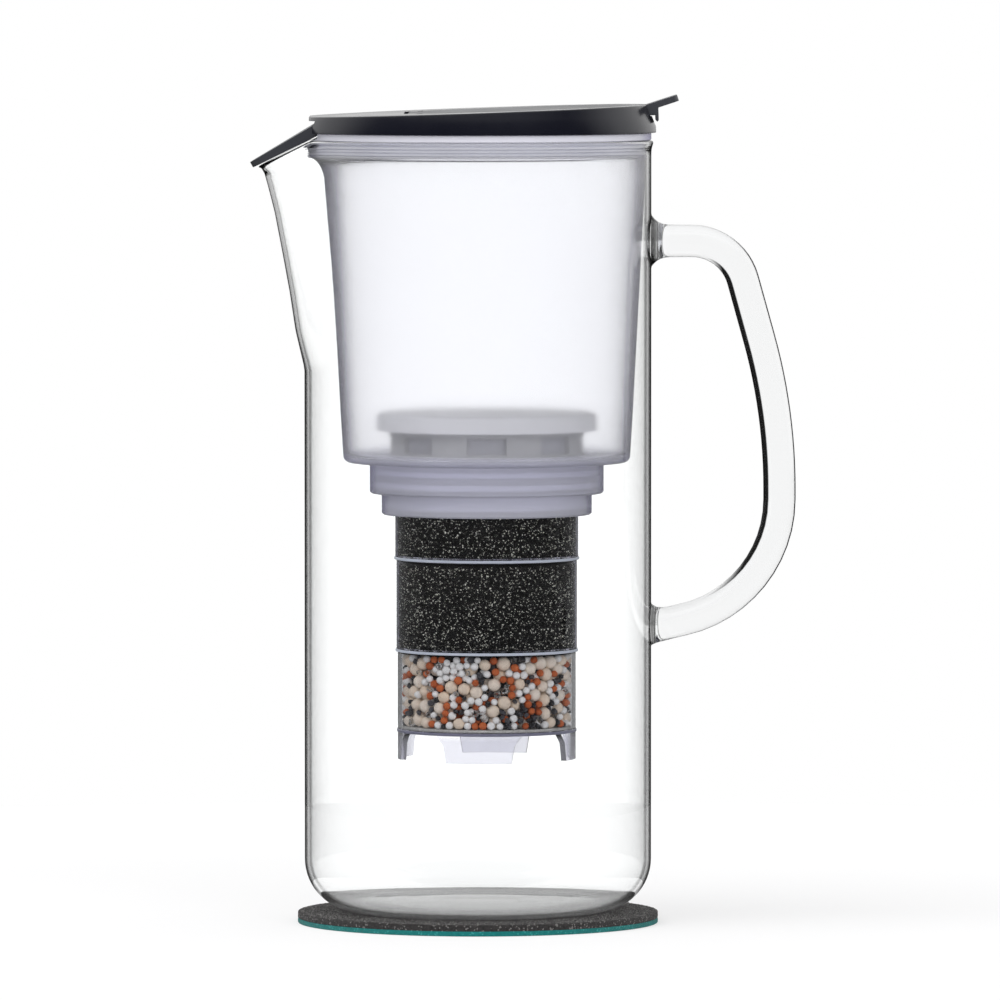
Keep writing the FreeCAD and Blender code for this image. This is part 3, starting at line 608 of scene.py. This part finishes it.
# %% Hopper finish
hopper_frosted, tree = new_finish("hopper_frosted")
place = object_place(tree)
cloud = noise_of(tree, place, 60, 3.0)
grain = noise_of(tree, place, 2600, 2.0)
level = span_of(tree, add(tree, "SeparateXYZ", Vector=place).outputs["Z"], 148 * mm, 286 * mm, 0.0, 1.0)
shares = ((0.0, 0.62), (0.13, 0.62), (0.145, 0.55), (0.165, 0.93), (0.3, 0.96), (0.93, 0.97), (0.945, 0.4),
          (1.0, 0.3))
clear_share = ramp_of(tree, level, *[(at, (share,) * 3) for at, share in shares])
tint = ramp_of(tree, level, (0.0, (0.74, 0.74, 0.83)), (0.145, (0.7, 0.7, 0.81)), (0.165, (0.97, 0.97, 0.99)),
               (0.93, (0.97, 0.97, 0.99)), (0.945, (0.84, 0.84, 0.92)))
# Painted shade: where the hopper turns away from the eye its colour is painted a darker lavender.
painted_edge_lavender = (0.4, 0.38, 0.6, 1)
tint = colour_mix(tree, edge_line(tree, 0.64, 0.88), tint, painted_edge_lavender)
frosted = add(tree, "BsdfPrincipled", Base_Color=tint, Transmission_Weight=clear_share,
              Normal=bump_of(tree, grain, 0.01 * mm, 0.5), IOR=1.25,
              Roughness=span_of(tree, cloud, 0.3, 0.7, 0.17, 0.22))
show_clear(tree, frosted.outputs[0], (0.93, 0.93, 0.95), (9.0, (0.64, 0.64, 0.74)))
print("hopper finish ready")

# %% Hopper
hopper_x = 3.2
cup_low, flare_z, collar_z = 166.8, 268.0, 277.0
cup_foot, cup_top, collar_radius, cup_wall = 51.9, 57.2, 60.8, 2.0


def to_cup_axis(x, y, z):
    """From the jug's axis to the axis of hopper and cartridge."""
    return x + hopper_x, y, z


def flare(inset):
    """The curve from the cup's wall out to the collar."""
    out = []
    for k in range(9):
        turn = math.radians(80 * k / 8)
        out.append((cup_top + (1 - math.cos(turn)) * (collar_radius - cup_top) - inset,
                    collar_z - (collar_z - flare_z) * (1 - math.sin(turn))))
    return out


def cup_side(inset, z0, count):
    slope = (cup_top - cup_foot) / (flare_z - cup_low)
    heights = [z0 + (flare_z - z0) * k / count for k in range(1, count)]
    return [(cup_foot + slope * (z - cup_low) - inset, z) for z in heights]


groove = [(60.8, 278.2), (59.7, 278.2), (59.7, 282.1), (60.8, 282.1)]
flange = [(60.8, 283.3), (62.4, 283.3), (62.7, 283.6), (62.7, 285.7)]
outside = [(33.9, 148.0), (37.4, 148.0), (38.0, 148.6), (38.0, 155.1), (38.4, 155.7), (41.7, 155.7),
           (42.3, 156.3), (42.3, 166.2), (42.9, 166.8)]
outside += arc(49.4, 169.3, 2.5, -90, 0, 6) + cup_side(0, 169.8, 6)
outside += flare(0) + [(60.6, 277.0), (60.8, 277.3)] + groove + flange
inside = [(62.4, 286.0), (59.2, 286.0), (58.8, 285.6), (58.8, 277.6)] + list(reversed(flare(cup_wall)))
inside += list(reversed(cup_side(cup_wall, 171.3, 6))) + arc(47.5, 171.3, 2.5, 0, -90, 6)
inside += [(40.8, 168.8), (40.3, 168.3), (40.3, 158.2), (39.8, 157.7), (36.5, 157.7), (36.0, 157.2),
           (36.0, 150.5), (35.5, 150.0), (34.2, 150.0), (33.9, 149.7)]
hopper = turned("hopper", outside + inside, 160, closed=True)


def hang_aside(x, y, z):
    rise = np.clip((z - flare_z) / (collar_z - flare_z), 0, 1)
    return x + hopper_x * np.sqrt(np.maximum(1 - rise ** 2, 0)), y, z


reshape(hopper, hang_aside)
print("hopper", len(hopper.data.polygons), "faces")

# %% [markdown]
# The flange makes room for the spout flap: a block is shaped to the flap's slope and taken away with
# a Boolean.

# %% Hopper's spout side
tip_x, root_x, above_rim = -91.2, -51.2, 295
lip_drop, flap_half_width = 0.45, 24.6


def under_flap(x):
    return lip_level - lip_drop + lip_slope * (x - lip_start)


flap_room = [(tip_x, under_flap(tip_x)), (root_x, under_flap(root_x)), (root_x, above_rim),
             (tip_x, above_rim)]
bpy.ops.mesh.primitive_circle_add(vertices=len(flap_room), radius=mm, fill_type="NGON")
block = bpy.context.object
for vertex, (x, z) in zip(block.data.vertices, flap_room):
    vertex.co = (x * mm, -flap_half_width * mm, z * mm)
bpy.ops.object.mode_set(mode="EDIT")
bpy.ops.mesh.select_all(action="SELECT")
bpy.ops.mesh.extrude_region_move(TRANSFORM_OT_translate={"value": (0, 2 * flap_half_width * mm, 0)})
mend(0.002)
cut = hopper.modifiers.new("cut", "BOOLEAN")
cut.operation = "DIFFERENCE"
cut.solver = "EXACT"
cut.object = block
pick(hopper)
bpy.ops.object.modifier_apply(modifier="cut")
bpy.data.objects.remove(block)
smooth(hopper)
settle(hopper, "hopper", "frosted_plastic", hopper_frosted, "hopper")

# %% [markdown]
# ## Moulded pieces from the frame
# Lid, flaps, caps and cups already have their true shape in the frame, as loose triangles. A copy is
# merged into one skin, its hard edges get a small bevel that catches the light as on moulded plastic,
# and its round faces are shaded smooth.

# %% Moulded copies
def moulded(node, round_size=0.0):
    piece = bpy.data.objects.new(node + "_skin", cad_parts[node].data.copy())
    scene.collection.objects.link(piece)
    pick(piece)
    bpy.ops.object.mode_set(mode="EDIT")
    bpy.ops.mesh.select_all(action="SELECT")
    bpy.ops.mesh.remove_doubles(threshold=0.002 * mm)
    bpy.ops.mesh.customdata_custom_splitnormals_clear()
    bpy.ops.mesh.dissolve_limited(angle_limit=math.radians(0.4))
    bpy.ops.object.mode_set(mode="OBJECT")
    if round_size:
        edge = piece.modifiers.new("round", "BEVEL")
        edge.width = round_size * mm
        edge.segments = 2
        edge.limit_method = "ANGLE"
        edge.angle_limit = math.radians(40)
        edge.use_clamp_overlap = True
        bpy.ops.object.modifier_apply(modifier="round")
    smooth(piece)
    if round_size:
        flat = piece.modifiers.new("flat", "WEIGHTED_NORMAL")
        flat.keep_sharp = True
        bpy.ops.object.modifier_apply(modifier="flat")
    return piece


print("moulded copies ready")

# %% [markdown]
# ## Plastic, rubber and metal
# Moulded plastic is never quite even: a fine spark-eroded grain in the bump, and a slow change of
# gloss. Each finish reads the same two noises with its own numbers.

# %% Solid finishes
def solid_finish(name, colour, roughness, grain_scale, grain_depth, variation=0.06, metal=0.0, sheen=0.0,
                 painted_neck_shade=None):
    """The last argument gives a height in mm and the value of the painted shade below it."""
    finish, tree = new_finish(name)
    place = object_place(tree)
    grain = noise_of(tree, place, grain_scale, 3.0)
    cloud = noise_of(tree, place, 35, 4.0)
    dark = tuple(c * (1 - variation) for c in colour)
    light = tuple(min(1, c * (1 + variation)) for c in colour)
    tint = ramp_of(tree, cloud, (0.3, dark), (0.7, light))
    # Painted shade: below the given height the colour is darkened, for the shade on the cap's neck.
    if painted_neck_shade:
        height, shade = painted_neck_shade
        level = add(tree, "SeparateXYZ", Vector=place).outputs["Z"]
        grey = span_of(tree, level, (height - 1) * mm, height * mm, shade, 1.0)
        tint = add(tree, "HueSaturation", Color=tint, Value=grey).outputs[0]
    show_skin(tree, tint, cloud, roughness - 0.05, roughness + 0.05, grain, grain_depth,
              Metallic=metal, Sheen_Weight=sheen)
    return finish


lid_plastic = solid_finish("lid_plastic", (0.006, 0.0064, 0.011), 0.22, 2200, 0.006)
flap_plastic = solid_finish("flap_plastic", (0.034, 0.036, 0.043), 0.4, 2200, 0.014)
# The cap's neck gets painted shade below 178.5 mm.
cap_plastic = solid_finish("cap_plastic", (0.9, 0.9, 0.92), 0.45, 2000, 0.012, painted_neck_shade=(178.5, 0.52))
head_plastic = solid_finish("head_plastic", (0.55, 0.55, 0.61), 0.4, 2000, 0.012)
seal_silicone = solid_finish("seal_silicone", (0.78, 0.78, 0.86), 0.55, 1500, 0.01, 0.03, 0.0, 0.1)
ring_rubber = solid_finish("ring_rubber", (0.02, 0.02, 0.021), 0.6, 1500, 0.015)
pin_steel = solid_finish("pin_steel", (0.6, 0.6, 0.62), 0.28, 3000, 0.005, 0.04, 1.0)
print("solid finishes ready")

# %% Lid, flaps, cap, head, seals and pins
for node, bevel, body, slot, finish in (
        ("lid_body", 0.25, "lid", "dark_plastic", lid_plastic),
        ("fill_flap", 0.2, "fill_flap", "dark_plastic", flap_plastic),
        ("spout_flap", 0.2, "spout_flap", "dark_plastic", flap_plastic),
        ("cartridge_cap", 0.3, "cartridge", "grey_plastic", cap_plastic),
        ("cartridge_head", 0.2, "cartridge", "grey_plastic", head_plastic)):
    settle(moulded(node, bevel), body, slot, finish, node)
for node, finish in (
        ("rim_seal", seal_silicone), ("lid_seal", seal_silicone), ("cartridge_o_rings", ring_rubber),
        ("fill_flap_pin", pin_steel), ("spout_flap_pin", pin_steel)):
    wear(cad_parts[node], finish)

# %% [markdown]
# ## The clear cups
# The three cups are clear mouldings with thin walls, and their fill shows right up to the edge. The
# two carbon cups get their inner wall moved outwards and their floor made thinner, so that the black
# grains reach the outline. Each joint has a lip of cloudy pale plastic, turned as a ring of its own, and
# the lowest cup has a dark ring at its base.

# %% Cups
lower_radius, middle_radius, upper_radius = 32.2, 32.65, 33.1
lower_z, middle_z, upper_z = 69.3, 99.4, 132.7
cad_wall, cad_floor, thin_wall, thin_floor = 1.4, 1.2, 0.4, 0.6
wall_match, floor_match, lip_match, lip_height = 0.12, 0.05, 0.05, 2


def thinner(radius, z0):
    """Moves a cup's inner wall out to a thin wall and its floor's upper face down to a thin floor."""
    def move(x, y, z):
        across = x - hopper_x
        out = np.hypot(across, y)
        is_wall = np.abs(out - (radius - cad_wall)) < wall_match
        grow = np.where(is_wall, (radius - thin_wall) / np.maximum(out, 1), 1)
        is_floor = (np.abs(z - (z0 + cad_floor)) < floor_match) & (out < radius - cad_wall + wall_match)
        return across * grow + hopper_x, y * grow, np.where(is_floor, z0 + thin_floor, z)
    return move


def pressed_lip(radius, top):
    """Presses the lip at a cup's top back into its wall."""
    def move(x, y, z):
        across = x - hopper_x
        out = np.hypot(across, y)
        is_lip = (out > radius + lip_match) & (z > top - lip_height)
        back = np.where(is_lip, radius / np.maximum(out, 1), 1)
        return across * back + hopper_x, y * back, z
    return move


upper_cup, middle_cup, lower_cup = (moulded(level + "_chamber") for level in ("upper", "middle", "lower"))
reshape(upper_cup, thinner(upper_radius, upper_z))
reshape(middle_cup, thinner(middle_radius, middle_z))
reshape(middle_cup, pressed_lip(middle_radius, upper_z))
reshape(lower_cup, pressed_lip(lower_radius, middle_z))
settle(upper_cup, "cartridge", "clear_plastic", cup_plastic, "upper_chamber")
settle(middle_cup, "cartridge", "clear_plastic", cup_plastic, "middle_chamber")
settle(lower_cup, "cartridge", "clear_plastic", footed_plastic, "lower_chamber")

# %% Lips between the cups
lip_plastic = solid_finish("lip_plastic", (0.5, 0.54, 0.64), 0.3, 1500, 0.01)
base_plastic = solid_finish("base_plastic", (0.16, 0.16, 0.23), 0.3, 1500, 0.01)


def lip_ring(name, radius, proud, z0, z1, finish):
    """A ring with rounded outer edges that stands proud of a cup's wall."""
    edge, inner, outer = 0.2, radius + 0.03, radius + proud
    outline = [(inner, z0), (outer - edge, z0)] + arc(outer - edge, z0 + edge, edge, -90, 0, 3)
    outline += arc(outer - edge, z1 - edge, edge, 0, 90, 3) + [(inner, z1)]
    ring = turned(name, outline, 160, closed=True)
    reshape(ring, to_cup_axis)
    settle(ring, "cartridge", "clear_plastic", finish)


lip_ring("middle_lip", middle_radius, 0.84, upper_z - 1.0, upper_z - 0.02, lip_plastic)
lip_ring("lower_lip", lower_radius, 0.84, middle_z - 1.0, middle_z - 0.02, lip_plastic)
lip_ring("lower_base", lower_radius, 0.3, lower_z, lower_z + 1.1, base_plastic)

# %% [markdown]
# ## The inlet screen
# A fine woven screen under the cap. Two crossed waves make the weave's bump. A grey sleeve closes the
# cap's windows from inside.

# %% Screen
finish, tree = new_finish("screen_weave")
place = object_place(tree)
threads = []
for direction in ("X", "Y"):
    wave = add(tree, "TexWave", Vector=place, Scale=400.0)
    wave.bands_direction = direction
    threads.append(wave.outputs["Fac"])
weave = math_of(tree, "MAXIMUM", *threads)
tint = ramp_of(tree, weave, (0.3, (0.3, 0.3, 0.32)), (0.8, (0.75, 0.76, 0.78)))
mesh_skin = add(tree, "BsdfPrincipled", Base_Color=tint,
                Roughness=span_of(tree, weave, 0.0, 1.0, 0.6, 0.3), Normal=bump_of(tree, weave, 0.1 * mm))
show(tree, mesh_skin.outputs[0])
wear(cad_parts["inlet_screen"], finish)
outline = [(33.0, 169.0), (33.4, 169.0), (33.4, 178.2), (33.0, 178.2)]
sleeve = turned("inlet_sleeve", outline, 128, closed=True)
reshape(sleeve, to_cup_axis)
# The sleeve's grey is dark to match the painted shade on the cap's neck.
sleeve_grey = solid_finish("sleeve_grey", (0.42, 0.42, 0.46), 0.5, 2000, 0.02)
settle(sleeve, "cartridge", "screen_mesh", sleeve_grey)

# %% [markdown]
# ## Carbon beds
# Two cups hold carbon grains about half a millimetre across. Behind the clear wall only the outer
# grains show, so each bed is a dark rough core with thousands of small faceted grains set on it. One
# grain is modelled once and copied by code, each copy turned and sized at random, with its own shade:
# most are black, and some faces carry a painted glint, a bright colour in place of reflected light.

# %% Carbon finish
carbon_finish, tree = new_finish("carbon_grains")
shade = add(tree, "Attribute")
shade.attribute_name = "shade"
# The brightest stops are painted glints: faces given a near-white colour in place of reflected light.
tint = ramp_of(tree, shade.outputs["Fac"], (0.0, (0.003, 0.003, 0.003)), (0.84, (0.008, 0.008, 0.009)),
               (0.89, (0.1, 0.1, 0.09)), (0.94, (0.85, 0.85, 0.74)), (1.0, (0.97, 0.97, 0.9)))
pits = noise_of(tree, object_place(tree), 3000, 2.0)
show_skin(tree, tint, pits, 0.22, 0.5, pits, 0.03, Specular_IOR_Level=0.2)
print("carbon finish ready")

# %% Copies of one small shape
def pattern_shape(subdivisions, rough, seed):
    """A small lump of unit radius: an icosphere with its points pushed in and out."""
    bpy.ops.mesh.primitive_ico_sphere_add(subdivisions=subdivisions, radius=1.0)
    lump = bpy.context.object
    chance = np.random.default_rng(seed)
    points = np.array([v.co for v in lump.data.vertices])
    points *= 1 + rough * chance.uniform(-1, 1, (len(points), 1))
    faces = np.array([tuple(p.vertices) for p in lump.data.polygons])
    bpy.data.objects.remove(lump)
    return points, faces


def scatter(name, shape, places, sizes, seed, stretch=0.0, by_face=False):
    """One mesh of many copies of a shape, each at its place (mm), with its size, turn and shade."""
    chance = np.random.default_rng(seed)
    points, faces = shape
    count = len(places)
    spin = chance.normal(size=(count, 4))
    spin /= np.linalg.norm(spin, axis=1)[:, None]
    w, x, y, z = spin.T
    turns = np.stack([1 - 2 * (y * y + z * z), 2 * (x * y - z * w), 2 * (x * z + y * w),
                      2 * (x * y + z * w), 1 - 2 * (x * x + z * z), 2 * (y * z - x * w),
                      2 * (x * z - y * w), 2 * (y * z + x * w), 1 - 2 * (x * x + y * y)], axis=1)
    turns = turns.reshape(-1, 3, 3)
    squeeze = 1 + stretch * chance.uniform(-1, 1, (count, 1, 3))
    copies = np.einsum("nij,nkj->nki", turns, points[None] * squeeze) * np.asarray(sizes)[:, None, None]
    copies += np.asarray(places)[:, None, :]
    corners = faces[None] + (np.arange(count) * len(points))[:, None, None]
    mesh = bpy.data.meshes.new(name)
    corners = corners.reshape(-1, faces.shape[1])
    mesh.from_pydata((copies.reshape(-1, 3) * mm).tolist(), [], corners.tolist())
    shades = mesh.attributes.new("shade", "FLOAT", "FACE")
    shade = chance.uniform(size=count * len(faces) if by_face else count)
    if not by_face:
        shade = np.repeat(shade, len(faces))
    shades.data.foreach_set("value", shade.astype(np.float32))
    piece = bpy.data.objects.new(name, mesh)
    scene.collection.objects.link(piece)
    return piece


print("copies ready")

# %% Carbon beds
grain = pattern_shape(1, 0.0, 1)
grain_size, grain_pitch, grain_stretch = 0.52, 0.86, 0.25


def carbon_bed(name, radius, z0, z1, seed):
    """A core with courses of grains round it, each grain a little out of line."""
    chance = np.random.default_rng(seed)
    around = int(2 * math.pi * radius / grain_pitch)
    courses = int((z1 - z0 - 0.4) / grain_pitch)
    column, course = np.meshgrid(np.arange(around), np.arange(courses))
    turn = (column + 0.5 * (course % 2) + chance.uniform(-0.32, 0.32, column.shape)) / around * 2 * math.pi
    height = z0 + 0.5 + (course + chance.uniform(-0.3, 0.3, column.shape)) * grain_pitch
    out = radius - 0.5 - chance.uniform(0, 0.4, column.shape)
    height = np.clip(height, z0 + 0.5, z1 - 0.5)
    places = np.stack([hopper_x + out * np.cos(turn), out * np.sin(turn), height], axis=-1)
    sizes = grain_size * chance.uniform(0.75, 1.15, column.size)
    grains = scatter(name + "_grains", grain, places.reshape(-1, 3), sizes, seed, grain_stretch, True)
    seat = z0 + 1.4
    outline = [(0, seat), (radius - 1.4, seat), (radius - 1.4, z0), (radius - 0.9, z0),
               (radius - 0.7, z0 + 0.3), (radius - 0.7, z1 - 0.3), (radius - 0.9, z1), (0, z1)]
    core = turned(name + "_core", outline, 96)
    reshape(core, to_cup_axis)
    pick(core, grains)
    bpy.ops.object.join()
    core.name = name
    return core


for name, radius, cup_z, top_z, seed in (
        ("upper_carbon", upper_radius, upper_z, 152.0, 11),
        ("middle_carbon", middle_radius, middle_z, 131.4, 12)):
    bed = carbon_bed(name, radius - thin_wall - 0.1, cup_z + thin_floor + 0.05, top_z, seed)
    settle(bed, "cartridge", "carbon", carbon_finish, name + "_bed")

# %% [markdown]
# ## The mineral bed
# The lowest cup holds a loose mix: large cream balls, small white and red ones, dark broken grains and
# a few clear crystals. Balls that fall into a cup end up touching in no order. The places start at
# random and are pushed apart in small steps wherever two balls overlap, until the mix is packed.

# %% Packing the mix
bed_inside, bed_low, bed_high, bed_depth = 30.75, 71.55, 97.9, 9.0
steps, push_share, drift = 140, 0.35, 0.03
kinds = {"cream": (190, 2.1, 2.65), "white": (300, 1.2, 1.5), "red": (190, 1.25, 1.5),
         "dark": (260, 0.9, 1.35), "crystal": (70, 1.1, 1.6)}
chance = np.random.default_rng(7)
radii, kind_of = [], []
for kind, (count, small, large) in kinds.items():
    radii.append(chance.uniform(small, large, count))
    kind_of += [kind] * count
radii, kind_of = np.concatenate(radii), np.array(kind_of)
turn = chance.uniform(0, 2 * math.pi, len(radii))
out = np.sqrt(chance.uniform((bed_inside - bed_depth) ** 2, bed_inside ** 2, len(radii)))
height = chance.uniform(bed_low, bed_high, len(radii))
spots = np.stack([out * np.cos(turn), out * np.sin(turn), height], axis=1)
for _ in range(steps):
    apart = spots[:, None, :] - spots[None, :, :]
    gap = np.linalg.norm(apart, axis=2) + np.eye(len(spots)) * 99
    overlap = np.maximum(radii[:, None] + radii[None, :] - gap, 0)
    push = (apart / gap[:, :, None] * overlap[:, :, None] * push_share).sum(axis=1)
    spots += push
    outward = spots[:, :2] / np.hypot(spots[:, 0], spots[:, 1])[:, None]
    spots[:, :2] += outward * drift
    flat = np.hypot(spots[:, 0], spots[:, 1])
    kept = np.clip(flat, bed_inside - bed_depth, bed_inside - radii)
    spots[:, :2] *= (kept / flat)[:, None]
    spots[:, 2] = np.clip(spots[:, 2], bed_low + radii, bed_high - radii)
spots[:, 0] += hopper_x
print("mix packed", len(spots), "deepest overlap", round(float(overlap.max()), 2), "mm")

# %% [markdown]
# ## Ceramic finishes
# Fired clay is matte and a little mottled. Every ball carries its own shade in an attribute, so that
# no two look alike, and a fine noise gives the pores.

# %% Mineral finishes
def clay_finish(name, dark, light, pore_scale, pore_depth, roughness):
    finish, tree = new_finish(name)
    shade = add(tree, "Attribute")
    shade.attribute_name = "shade"
    place = object_place(tree)
    pores = noise_of(tree, place, pore_scale, 4.0, 0.65)
    mottle = noise_of(tree, place, 500, 3.0)
    mixed = math_of(tree, "ADD", times(tree, shade.outputs["Fac"], 0.65),
                    times(tree, mottle, 0.4))
    tint = ramp_of(tree, mixed, (0.1, dark), (0.9, light))
    show_skin(tree, tint, pores, roughness, roughness + 0.2, pores, pore_depth)
    return finish


mineral_finish = {
    "cream": clay_finish("cream_ceramic", (0.87, 0.7, 0.53), (0.97, 0.88, 0.77), 2500, 0.05, 0.6),
    "white": clay_finish("white_ceramic", (0.93, 0.92, 0.9), (0.98, 0.98, 0.97), 2500, 0.04, 0.55),
    "red": clay_finish("red_clay", (0.4, 0.085, 0.025), (0.66, 0.17, 0.055), 2500, 0.05, 0.6),
    "dark": clay_finish("dark_mineral", (0.012, 0.012, 0.013), (0.075, 0.075, 0.085), 3000, 0.08, 0.35),
}
mineral_finish["crystal"] = clear_finish("crystal_quartz", (0.95, 0.95, 0.93), 1.5, 0.08, 0.05, 400,
                                         (0.9, 0.9, 0.9))
print("mineral finishes", list(mineral_finish))

# %% Mineral bed
for seed, (kind, rounds, rough, shape_seed, slot, *nodes) in enumerate((
        ("cream", 2, 0.01, 3, "cream_ceramic", "cream_balls", "mineral_core"),
        ("white", 2, 0.015, 4, "white_ceramic", "white_balls"), ("red", 2, 0.02, 5, "red_clay", "red_balls"),
        ("dark", 1, 0.28, 6, "dark_mineral", "dark_grains"), ("crystal", 1, 0.18, 8, "white_ceramic")), 20):
    chosen = kind_of == kind
    stretch = 0.2 if kind == "dark" else 0.03
    shape = pattern_shape(rounds, rough, shape_seed)
    mix = scatter(kind + "_mix", shape, spots[chosen], radii[chosen], seed, stretch)
    if rounds > 1:
        smooth(mix, 80)
    settle(mix, "cartridge", slot, mineral_finish[kind], *nodes)
# A dark core fills the middle of the mix as painted shade, so that the gaps between the balls look dark.
outline = [(0, bed_low), (22.0, bed_low), (22.5, 72.1), (22.5, 97.3), (22.0, bed_high), (0, bed_high)]
core = turned("mix_shadow", outline, 64)
reshape(core, to_cup_axis)
settle(core, "cartridge", "dark_mineral", mineral_finish["dark"])

# %% [markdown]
# ## Felt
# Felt is pressed wool: matte, with a sheen of loose fibres at grazing angles, tiny hairs in the bump
# and flecks of other colours. The coaster is a teal disc under a dark flecked one, each cut with a
# sharp blade, so the edges are upright with a slightly fuzzy skin. Small tufts stand up from the dark
# disc where the jug leaves it open.

# %% Felt finish
def felt_finish(name, dark, light, fleck, fleck_share, fuzz):
    finish, tree = new_finish(name)
    place = object_place(tree)
    wool = noise_of(tree, place, 900, 6.0, 0.7)
    hairs = add(tree, "TexNoise", Vector=object_place(tree, (1, 3.5, 2)), Scale=1500.0, Detail=5.0,
                Distortion=2.5).outputs["Fac"]
    cells = add(tree, "TexVoronoi", Vector=place, Scale=2000.0)
    chance = add(tree, "SeparateColor", Color=cells.outputs["Color"]).outputs[0]
    specks = math_of(tree, "GREATER_THAN", chance, 1 - fleck_share)
    base = ramp_of(tree, wool, (0.3, dark), (0.72, light))
    tint = colour_mix(tree, times(tree, specks, 0.75), base, (*fleck, 1))
    height = math_of(tree, "ADD", wool, times(tree, hairs, 0.8))
    show_skin(tree, tint, hairs, 0.85, 1.0, height, 0.35,
              Sheen_Weight=fuzz, Sheen_Roughness=0.5, Specular_IOR_Level=0.2)
    return finish


teal_felt = felt_finish("teal_felt", (0.003, 0.12, 0.115), (0.008, 0.2, 0.19), (0.04, 0.3, 0.28), 0.08, 0.12)
dark_felt = felt_finish("dark_felt", (0.01, 0.009, 0.009), (0.045, 0.042, 0.042), (0.2, 0.19, 0.185), 0.1,
                        0.1)
pad_felt = felt_finish("pad_felt", (0.6, 0.59, 0.56), (0.82, 0.81, 0.78), (0.9, 0.89, 0.86), 0.05, 0.2)
tuft_finish = clay_finish("felt_tufts", (0.006, 0.006, 0.006), (0.24, 0.235, 0.23), 3000, 0.05, 0.8)
print("felt finishes ready")

# %% Felt discs
def felt_disc(name, radius, z0, z1, x, fuzz, seed):
    """A felt disc with a softly uneven skin."""
    edge, ripples = 0.3, 24
    flat = [radius * k / 14 for k in range(1, 14)]
    outline = [(0, z0)] + [(r, z0) for r in flat] + arc(radius - edge, z0 + edge, edge, -90, 0, 3)
    outline += rows(radius, z0 + edge, z1 - edge, 3) + arc(radius - edge, z1 - edge, edge, 0, 90, 3)
    outline += [(r, z1) for r in reversed(flat)] + [(0, z1)]
    disc = turned(name, outline, 240)
    chance = np.random.default_rng(seed)
    phases = chance.uniform(0, 6.28, (ripples, 3))
    waves = chance.normal(size=(ripples, 2)) * 0.9

    def ruffle(px, py, pz):
        turn = np.arctan2(py, px)
        r = np.hypot(px, py)
        wobble = sum(np.sin(turn * (20 + 9 * k) + pz * waves[k, 0] * 3 + phases[k, 0])
                     for k in range(ripples)) / ripples
        out = np.where(r > radius - 1, 1 - fuzz * (0.5 + wobble) / np.maximum(r, 1), 1)
        return px * out + x, py * out, pz

    reshape(disc, ruffle)
    smooth(disc, 60)
    return disc


coaster_radius, coaster_seam, coaster_top, coaster_fuzz = 65.3, 1.8, 4.08, 0.25
base_disc = felt_disc("coaster_base", coaster_radius, 0.0, coaster_seam, 0.0, coaster_fuzz, 31)
settle(base_disc, "coaster", "teal_felt", teal_felt, "coaster_base_felt")
top_disc = felt_disc("coaster_top", coaster_radius, coaster_seam, coaster_top, 0.0, coaster_fuzz, 32)
settle(top_disc, "coaster", "dark_felt", dark_felt, "coaster_top_felt")
tuft_count, tufts_from, tufts_to, tuft_low, tuft_high = 5200, 48.0, 64.6, 4.02, 4.14
chance = np.random.default_rng(33)
turn = chance.uniform(0, 2 * math.pi, tuft_count)
out = np.sqrt(chance.uniform(tufts_from ** 2, tufts_to ** 2, tuft_count))
height = chance.uniform(tuft_low, tuft_high, tuft_count)
spots = np.stack([out * np.cos(turn), out * np.sin(turn), height], axis=1)
sizes = chance.uniform(0.12, 0.26, tuft_count)
tufts = scatter("coaster_tufts", pattern_shape(1, 0.3, 34), spots, sizes, 35, 0.4)
settle(tufts, "coaster", "dark_felt", tuft_finish)
for node, radius, z0 in (
        ("inlet_felt", 31.6, 152.0), ("upper_felt", 30.6, 133.35), ("middle_felt", 30.2, 100.05),
        ("lower_felt", 30.7, 70.5)):
    pad = felt_disc(node.replace("_felt", "_pad"), radius, z0, z0 + 1.0, hopper_x, 0.12, 40)
    settle(pad, "cartridge", "white_felt", pad_felt, node)

# %% [markdown]
# At the end the view layer is brought up to date. The dressed model has to stay in the
# solid model's box.

# %% Finish
bpy.context.view_layer.update()
